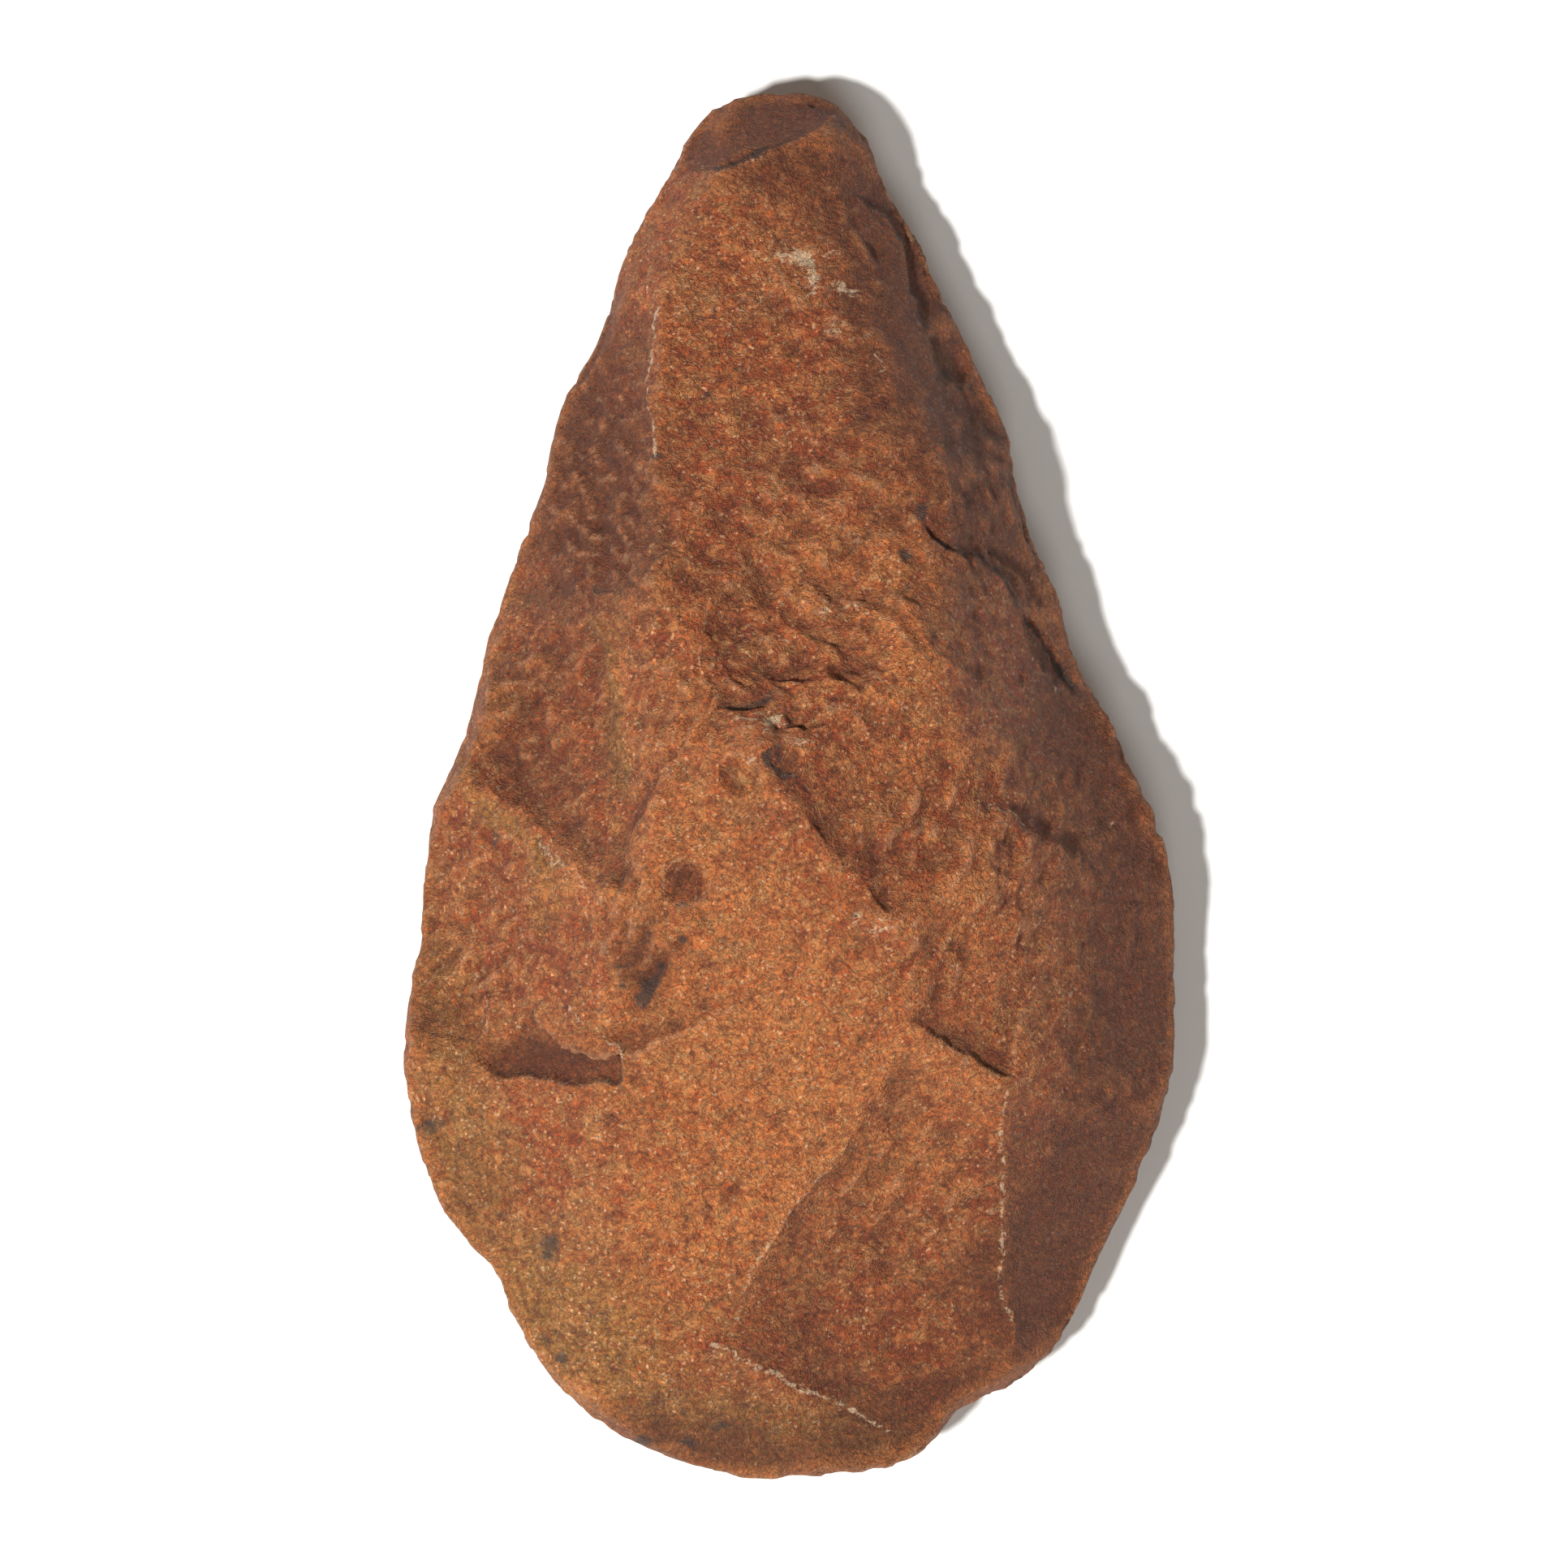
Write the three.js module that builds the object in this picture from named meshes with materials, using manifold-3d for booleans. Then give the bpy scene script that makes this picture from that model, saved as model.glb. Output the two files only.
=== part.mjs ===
// A stone hand axe, lying on its flatter face with the tip towards +Y.
//
// It is one piece of quartzite, made here the way a knapper made it. A lens-shaped blank of the right
// outline is cut back by flake scars, each a shallow dish. Neighbouring dishes share the points where
// their arrises meet, so moving one of those points moves the ridge between them. A thin core keeps the
// worked edge whole.
//
// The free form is given in hundredths of the length: u across, v towards the tip, and h above or below
// the worn edge. LENGTH, WIDTH, RISE, BELLY and EDGE turn those shares into millimetres.

import * as THREE from "three";
import { mergeVertices } from "three/addons/utils/BufferGeometryUtils.js";
import Module from "manifold-3d";

const LENGTH = 180; // tip to butt
const WIDTH = 100.5; // across the broadest part
const RISE = 30.5; // middle of the edge up to the knob of the upper face
const BELLY = 10; // middle of the edge down to the spot that the stone rests on
const EDGE = 1.8; // thickness of the worn working edge
const EDGE_WAVE = 1.5; // how far the edge wanders up and down
const EDGE_WAVES = [[0.6, 3, 0.8], [0.4, 8, 2]]; // a slow and a quick one: share, bends, start angle
const EDGE_WAVE_FROM = 0.55; // share of the way out at which the winding starts

// Corners and fullest points of the outline, [u, v], round from the tip by the left side.
const OUTLINE = [
  [-0.4, 50], [-3, 49.7], [-4.9, 49.2], [-7.2, 47], [-8.9, 44], [-11.9, 38.6], [-12.8, 35.2], [-14.3, 31.2],
  [-16.1, 28.2], [-18, 21], [-20, 15.6], [-22, 9.8], [-23, 5.2], [-24.7, 0.6], [-25.7, -1.4], [-26.4, -5],
  [-26.7, -10.4], [-27.3, -14.2], [-27.9, -20.3], [-27, -25.4], [-25.2, -30.3], [-23.2, -33], [-21.4, -34.7],
  [-20.4, -37.4], [-18.2, -41.4], [-15.4, -44.6], [-11.3, -47.3], [-6, -49.3], [-1.4, -50], [4.6, -49.5],
  [7.7, -49], [10.2, -47.4], [12.1, -44.9], [15.5, -43.6], [19.6, -39.8], [22.3, -33.6], [25, -28.4],
  [27.5, -20.8], [27.8, -15.9], [27.5, -13.2], [27.8, -9.9], [27.2, -5.2], [25.9, -1.4], [24.4, 1.2],
  [23, 5], [21.2, 7.4], [20.4, 9.4], [19.1, 14], [17.5, 17.8], [16.4, 21], [15.9, 24.6], [13, 31],
  [10.6, 36.1], [9, 39.6], [7, 42.8], [5.6, 46.4], [3.7, 48.7], [1.9, 49.7],
];

// Where the arrises of the upper face meet, [u, v, h].
const UPPER = {
  tipLeft: [-4.5, 45.4, 3.9], tipRight: [2.9, 47.2, 3.1],
  shoulderTop: [4.4, 36, 5.2], shoulderNear: [7.2, 30, 7.2],
  shoulderMid: [9.7, 24, 9.6], shoulderEnd: [13.4, 5, 11],
  leftArrisTop: [-9.9, 35.6, 4.6], leftArrisLow: [-9.7, 20.4, 9.1], waistOut: [-19.2, 14.4, 0.7],
  bowlTop: [-13.6, 12.6, 8.1], bowlFoot: [-11.5, -6.8, 12.4], bowlLip: [-24.6, 0.4, 2.3],
  spineTop: [-11.3, 12, 10.7], spineFoot: [-11.5, -2, 12.5],
  scarpLeft: [-7.8, 12.8, 11.8], rippleFar: [12, 19.6, 9.4],
  knob: [-2.2, 2.6, 16.4], bend: [7.8, -10.3, 14.4], beltRight: [15.4, -5, 11.1],
  creaseLeft: [8.4, -16.8, 12.8], creaseRight: [15.7, -21.2, 10.1],
  scarFoot: [-3.2, -39.9, 4.9], scarCorner: [15.9, -40.7, 2.4],
  stepIn: [-12.6, -20.4, 9.2], leftFoot: [-13.2, -28, 7], buttLeft: [-13.5, -43, 2.8],
};

// Flake scars of the upper face. Each is a dish through three points, some of them on the rim where h is
// 0, that sinks by hollow in its middle. A higher sharp keeps the floor flat and turns its side up late,
// as a step does.
const UPPER_SCARS = [
  { name: "tip", through: [UPPER.tipLeft, UPPER.tipRight, [-0.8, 49.9, 0]], hollow: 0.2 },
  { name: "tip right", through: [UPPER.tipRight, UPPER.shoulderTop, [8.6, 40.4, 0]], hollow: 0.9 },
  { name: "upper ridge", through: [UPPER.tipRight, UPPER.shoulderMid, UPPER.leftArrisLow], hollow: 1.4 },
  { name: "tip left", through: [UPPER.tipLeft, UPPER.leftArrisTop, [-10, 42, 0]], hollow: 0.3 },
  { name: "upper left", through: [UPPER.leftArrisTop, UPPER.leftArrisLow, [-16.4, 27.4, 0]], hollow: 0.4 },
  { name: "waist left", through: [UPPER.leftArrisLow, UPPER.bowlTop, UPPER.waistOut], hollow: 0.5 },
  { name: "left bowl", through: [UPPER.bowlTop, UPPER.bowlFoot, UPPER.bowlLip], hollow: 1.3 },
  { name: "spine", through: [UPPER.spineTop, UPPER.spineFoot, UPPER.knob], hollow: 0.4 },
  { name: "rippled", through: [UPPER.scarpLeft, UPPER.knob, UPPER.rippleFar], hollow: 2.2 },
  { name: "right mottled", through: [UPPER.knob, UPPER.bend, UPPER.beltRight], hollow: 0.5 },
  { name: "mottled foot", through: [UPPER.bend, UPPER.creaseLeft, [16.8, -17, 9.5]], hollow: 0.3, sharp: 3 },
  { name: "upper flank", through: [UPPER.shoulderTop, UPPER.shoulderNear, [11.6, 33.8, 0]], hollow: 0.7 },
  { name: "middle flank", through: [UPPER.shoulderNear, UPPER.shoulderMid, [15.6, 25, 0]], hollow: 0.6 },
  { name: "right flank", through: [UPPER.shoulderMid, UPPER.shoulderEnd, [20, 11, 0]], hollow: 0.8 },
  { name: "right edge", through: [UPPER.shoulderEnd, UPPER.beltRight, [25.8, -1, 0]], hollow: 0.4 },
  { name: "right belly", through: [UPPER.beltRight, UPPER.creaseRight, [27.6, -11, 0]], hollow: 0.5 },
  { name: "right facet", through: [UPPER.creaseRight, UPPER.scarCorner, [26, -26.4, 0]], hollow: 0.3 },
  { name: "lower right", through: [UPPER.creaseLeft, UPPER.scarCorner, UPPER.scarFoot], hollow: 1.1,
    sharp: 3 },
  { name: "great scar", through: [UPPER.knob, UPPER.creaseLeft, UPPER.scarFoot], hollow: 0.3 },
  { name: "butt", through: [UPPER.buttLeft, UPPER.scarFoot, [-3, -49.8, 0]], hollow: 0.3 },
  { name: "butt left", through: [UPPER.leftFoot, UPPER.buttLeft, [-22.8, -33.4, 0]], hollow: 0.4 },
  { name: "left lower", through: [UPPER.stepIn, UPPER.leftFoot, [-27.6, -22.4, 0]], hollow: 0.3 },
  { name: "left middle", through: [UPPER.bowlFoot, UPPER.bowlLip, [-20.4, -20.4, 4.5]], hollow: 1.1,
    sharp: 3 },
];

// The same for the underside, with h measured down.
const LOWER = {
  tip: [-2, 36, 2.3], neck: [1, 21, 4.1], waist: [-2.5, 8, 5.6], belt: [3, -2, 6], belly: [-2, -15, 6],
  hip: [2.5, -26, 5], cheek: [-9, -30, 3.6], foot: [-1, -38, 2.9],
};
const LOWER_SCARS = [
  { name: "under tip", through: [LOWER.tip, [-6, 48, 0], [4, 48.4, 0]], hollow: 0.2 },
  { name: "under left point", through: [LOWER.tip, LOWER.waist, [-15.4, 29, 0]], hollow: 0.4 },
  { name: "under left waist", through: [LOWER.waist, LOWER.belly, [-25, 0, 0]], hollow: 0.6 },
  { name: "under left hip", through: [LOWER.belly, LOWER.cheek, [-27.6, -21, 0]], hollow: 0.5 },
  { name: "under left butt", through: [LOWER.cheek, LOWER.foot, [-21.2, -36, 0]], hollow: 0.5 },
  { name: "under butt", through: [LOWER.foot, [-16, -44, 0], [8, -48.8, 0]], hollow: 0.3 },
  { name: "under right butt", through: [LOWER.hip, LOWER.foot, [20, -39, 0]], hollow: 0.4 },
  { name: "under right hip", through: [LOWER.belt, LOWER.hip, [27.6, -15, 0]], hollow: 0.6 },
  { name: "under right waist", through: [LOWER.neck, LOWER.belt, [22.4, 6, 0]], hollow: 0.5 },
  { name: "under right point", through: [LOWER.tip, LOWER.neck, [12.6, 32, 0]], hollow: 0.3 },
];

const REST_DEEP = 5; // h of the resting spot, a little less than the deepest arrises that it wears down
const BLANK_HIGH = 20; // the blank stands proud of every scar above and below
const BLANK_DEEP = 7;
const BLANK_RINGS = 5; // rings from the middle of the blank to its edge
const BLANK_FULLNESS = 6; // 2 is a plain lens, more has a flatter top and steeper sides
const CORE_SHARE = 0.1; // the core's height as a share of the blank's
const OUTLINE_STEPS = 140; // points round the outline
const DISH_SPOKES = 22;
const DISH_RINGS = [0.35, 0.65, 0.9, 1.15, 1.5, 2, 2.8, 4.5, 9]; // 1 is the rim through the three points
const CLEAR = 60; // h of the top of every cutting dish, well clear of the blank
const DISH_TOP = 55; // h that a dish's own rim stays under
const HEART = [0, -5]; // a point that sees the whole outline

const wasm = await Module();
wasm.setup();

const outlineLeft = Math.min(...OUTLINE.map(([u]) => u));
const outlineRight = Math.max(...OUTLINE.map(([u]) => u));
const alongMm = LENGTH / 100;
const acrossMm = WIDTH / (outlineRight - outlineLeft);
const upMm = (RISE - EDGE / 2) / UPPER.knob[2];
const downMm = (BELLY - EDGE / 2) / REST_DEEP;

// A point of the upper face (side 1) or the underside (side -1), in millimetres from the middle of the edge.
function place(u, v, h, side) {
  const z = side > 0 ? EDGE / 2 + h * upMm : -EDGE / 2 - h * downMm;
  return new THREE.Vector3((u - (outlineLeft + outlineRight) / 2) * acrossMm, v * alongMm, z);
}

function outlinePoints() {
  const corners = OUTLINE.map(([u, v]) => new THREE.Vector3(u, v, 0));
  const curve = new THREE.CatmullRomCurve3(corners, true, "centripetal");
  return curve.getSpacedPoints(OUTLINE_STEPS).slice(0, OUTLINE_STEPS);
}

// A closed solid from rings of points, the first ring closed by one point and the last by another.
function ringSolid(first, rings, last) {
  const points = [first, ...rings.flat(), last];
  const count = rings[0].length;
  const at = (ring, i) => 1 + ring * count + (i % count);
  const faces = [];
  for (let i = 0; i < count; i++) {
    faces.push(0, at(0, i), at(0, i + 1));
    for (let ring = 0; ring + 1 < rings.length; ring++) {
      faces.push(at(ring, i), at(ring + 1, i), at(ring + 1, i + 1));
      faces.push(at(ring, i), at(ring + 1, i + 1), at(ring, i + 1));
    }
    faces.push(at(rings.length - 1, i), points.length - 1, at(rings.length - 1, i + 1));
  }
  const geometry = new THREE.BufferGeometry().setFromPoints(points);
  geometry.setIndex(faces);
  return toManifold(geometry);
}

function toManifold(geometry) {
  const merged = mergeVertices(geometry, 1e-4);
  return new wasm.Manifold(
    new wasm.Mesh({
      numProp: 3,
      vertProperties: merged.attributes.position.array,
      triVerts: new Uint32Array(merged.index.array),
    }),
  );
}

// A lens of the axe's outline, high and deep in the middle, with an upright band as thick as EDGE round it.
function lens(high, deep) {
  const rim = outlinePoints();
  const layer = (share, height, side) =>
    rim.map((p) => {
      const u = HEART[0] + (p.x - HEART[0]) * share;
      const v = HEART[1] + (p.y - HEART[1]) * share;
      return place(u, v, height * (1 - share ** BLANK_FULLNESS), side);
    });
  const upper = [];
  const lower = [];
  for (let ring = 1; ring <= BLANK_RINGS; ring++) {
    upper.push(layer(ring / BLANK_RINGS, high, 1));
    lower.unshift(layer(ring / BLANK_RINGS, deep, -1));
  }
  return ringSolid(place(...HEART, high, 1), [...upper, ...lower], place(...HEART, deep, -1));
}

// What one flake took away: everything outside a dish whose rim runs through the three given points.
function flake({ through, hollow, sharp = 2 }, side) {
  const [a, b, c] = through.map((point) => new THREE.Vector3(...point));
  const middle = new THREE.Vector3().add(a).add(b).add(c).divideScalar(3);
  const ahead = a.clone().sub(middle);
  const aside = b.clone().sub(c).divideScalar(Math.sqrt(3));
  aside.multiplyScalar(side * Math.sign(ahead.x * aside.y - ahead.y * aside.x));
  const ring = (share, heightOf) =>
    Array.from({ length: DISH_SPOKES }, (_, i) => {
      const turn = (i / DISH_SPOKES) * 2 * Math.PI;
      const point = middle.clone().addScaledVector(ahead, share * Math.cos(turn));
      point.addScaledVector(aside, share * Math.sin(turn));
      return place(point.x, point.y, heightOf(point.z), side);
    });
  const dishHeight = (share) => (h) => Math.min(h - hollow * (1 - share ** sharp), DISH_TOP);
  const dish = DISH_RINGS.map((share) => ring(share, dishHeight(share))).reverse();
  const lid = ring(DISH_RINGS.at(-1), () => CLEAR);
  const floor = place(middle.x, middle.y, middle.z - hollow, side);
  return ringSolid(place(middle.x, middle.y, CLEAR, side), [lid, ...dish], floor);
}

function stone() {
  const cut = (rest, gone) => rest.subtract(gone);
  const upperFlakes = UPPER_SCARS.map((scar) => flake(scar, 1));
  const lowerFlakes = LOWER_SCARS.map((scar) => flake(scar, -1));
  const worked = [...upperFlakes, ...lowerFlakes].reduce(cut, lens(BLANK_HIGH, BLANK_DEEP));
  const core = lens(BLANK_HIGH * CORE_SHARE, BLANK_DEEP * CORE_SHARE);
  return worked.trimByPlane([0, 0, 1], -BELLY).add(core);
}

// Lifts and lowers the rim, the way a knapped edge winds from side to side. The middle stays where it is.
function edgeWave(x, y) {
  const out = Math.hypot(x / (WIDTH / 2), y / (LENGTH / 2));
  const turn = Math.atan2(y, x);
  let wave = 0;
  for (const [share, bends, start] of EDGE_WAVES) wave += share * Math.sin(bends * turn + start);
  return EDGE_WAVE * wave * THREE.MathUtils.smoothstep(out, EDGE_WAVE_FROM, 1);
}

function meshOf(name, solid, material) {
  const { numProp, vertProperties, triVerts } = solid.getMesh();
  const positions = [];
  for (let i = 0; i < vertProperties.length; i += numProp) {
    const [x, y, z] = vertProperties.slice(i, i + 3);
    positions.push(x, y, z + edgeWave(x, y));
  }
  const geometry = new THREE.BufferGeometry();
  geometry.setAttribute("position", new THREE.Float32BufferAttribute(positions, 3));
  geometry.setIndex([...triVerts]);
  const mesh = new THREE.Mesh(geometry, material);
  mesh.name = name;
  return mesh;
}

const quartzite = new THREE.MeshStandardMaterial({ color: 0x8f5b3f, roughness: 0.75, metalness: 0 });
const handAxe = new THREE.Group();
handAxe.add(meshOf("stone_hand_axe", stone(), quartzite));
handAxe.position.z = BELLY;

export default handAxe;
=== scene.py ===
import math

import bmesh
import bpy
import numpy as np
from mathutils import Matrix, Vector


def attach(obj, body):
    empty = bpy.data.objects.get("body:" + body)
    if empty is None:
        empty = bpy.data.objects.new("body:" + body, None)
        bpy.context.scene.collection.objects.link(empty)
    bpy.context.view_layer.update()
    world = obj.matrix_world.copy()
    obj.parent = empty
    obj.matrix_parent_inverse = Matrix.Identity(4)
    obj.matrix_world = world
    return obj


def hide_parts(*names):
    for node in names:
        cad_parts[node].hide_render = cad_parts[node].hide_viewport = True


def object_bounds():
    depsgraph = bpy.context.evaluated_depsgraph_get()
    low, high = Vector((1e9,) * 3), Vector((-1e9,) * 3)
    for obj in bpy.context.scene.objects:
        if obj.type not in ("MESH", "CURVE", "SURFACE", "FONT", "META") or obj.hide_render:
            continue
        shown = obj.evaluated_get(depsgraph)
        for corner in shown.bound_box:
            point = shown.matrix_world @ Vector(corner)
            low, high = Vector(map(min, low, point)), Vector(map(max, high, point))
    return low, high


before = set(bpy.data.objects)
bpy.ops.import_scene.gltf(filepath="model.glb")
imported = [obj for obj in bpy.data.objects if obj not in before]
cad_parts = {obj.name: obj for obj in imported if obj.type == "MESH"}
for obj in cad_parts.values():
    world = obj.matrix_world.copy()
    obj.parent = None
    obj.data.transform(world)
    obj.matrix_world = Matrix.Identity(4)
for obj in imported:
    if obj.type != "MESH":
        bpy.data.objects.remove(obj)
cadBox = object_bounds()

mm = 0.001  # every table below is in millimetres, from the middle of the stone, tip towards +Y


def linearColour(hexText, alpha=1.0):
    channels = [int(hexText[i : i + 2], 16) / 255 for i in (1, 3, 5)]
    return [c / 12.92 if c <= 0.04045 else ((c + 0.055) / 1.055) ** 2.4 for c in channels] + [alpha]


def smoothStep(low, high, x):
    t = np.clip((x - low) / (high - low), 0, 1)
    return t * t * (3 - 2 * t)


# gradient noise on a lattice, about -1 to 1, with cells this many millimetres wide;
# the large primes only scramble the corners
def latticeNoise(points, cell, seed, stretch=(1, 1, 1)):
    p = points / (cell * np.array(stretch, float))
    base = np.floor(p).astype(np.int64)
    f = p - base
    ease = f * f * f * (f * (f * 6 - 15) + 10)
    total = np.zeros(len(p))
    for corner in np.ndindex(2, 2, 2):
        key = ((base + corner) * np.array([73856093, 19349663, 83492791])).sum(1) + seed * 15485863
        away = f - corner
        dot = np.zeros(len(p))
        for axis in range(3):
            mixed = (key + axis * 7919) & 0xFFFFFFFF
            mixed = ((mixed ^ (mixed >> 15)) * 2246822519) & 0xFFFFFFFF
            mixed = ((mixed ^ (mixed >> 13)) * 3266489917) & 0xFFFFFFFF
            dot += ((mixed ^ (mixed >> 16)) / 0x7FFFFFFF - 1) * away[:, axis]
        weight = np.prod(np.where(np.array(corner) == 1, ease, 1 - ease), axis=1)
        total += weight * dot
    return total * 1.3


# corner cutting, so that a line typed as a few points bends like a real crack
def easedLine(points, rounds=2):
    line = np.array(points, float)
    for _ in range(rounds):
        quarter = line[:-1] * 0.75 + line[1:] * 0.25
        threeQuarter = line[:-1] * 0.25 + line[1:] * 0.75
        middle = np.stack([quarter, threeQuarter], 1).reshape(-1, 2)
        line = np.vstack([line[:1], middle, line[-1:]])
    return line


# for each flat point: distance to the line, share of the way along it, distance on the side it falls to
def alongLine(flat, line, falls=(0, 1)):
    best = np.full(len(flat), 1e9)
    share = np.zeros(len(flat))
    signed = np.zeros(len(flat))
    steps = np.hypot(*(line[1:] - line[:-1]).T)
    done = 0
    for a, b, length in zip(line[:-1], line[1:], steps):
        along = (b - a) / length
        across = np.array([-along[1], along[0]])
        across *= 1 if across @ np.array(falls) > 0 else -1
        t = np.clip((flat - a) @ along, 0, length)
        gap = flat - a - t[:, None] * along
        distance = np.hypot(*gap.T)
        closer = distance < best
        best = np.where(closer, distance, best)
        share = np.where(closer, (done + t) / steps.sum(), share)
        signed = np.where(closer, distance * np.sign(gap @ across), signed)
        done += length
    return best, share, signed


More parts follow.
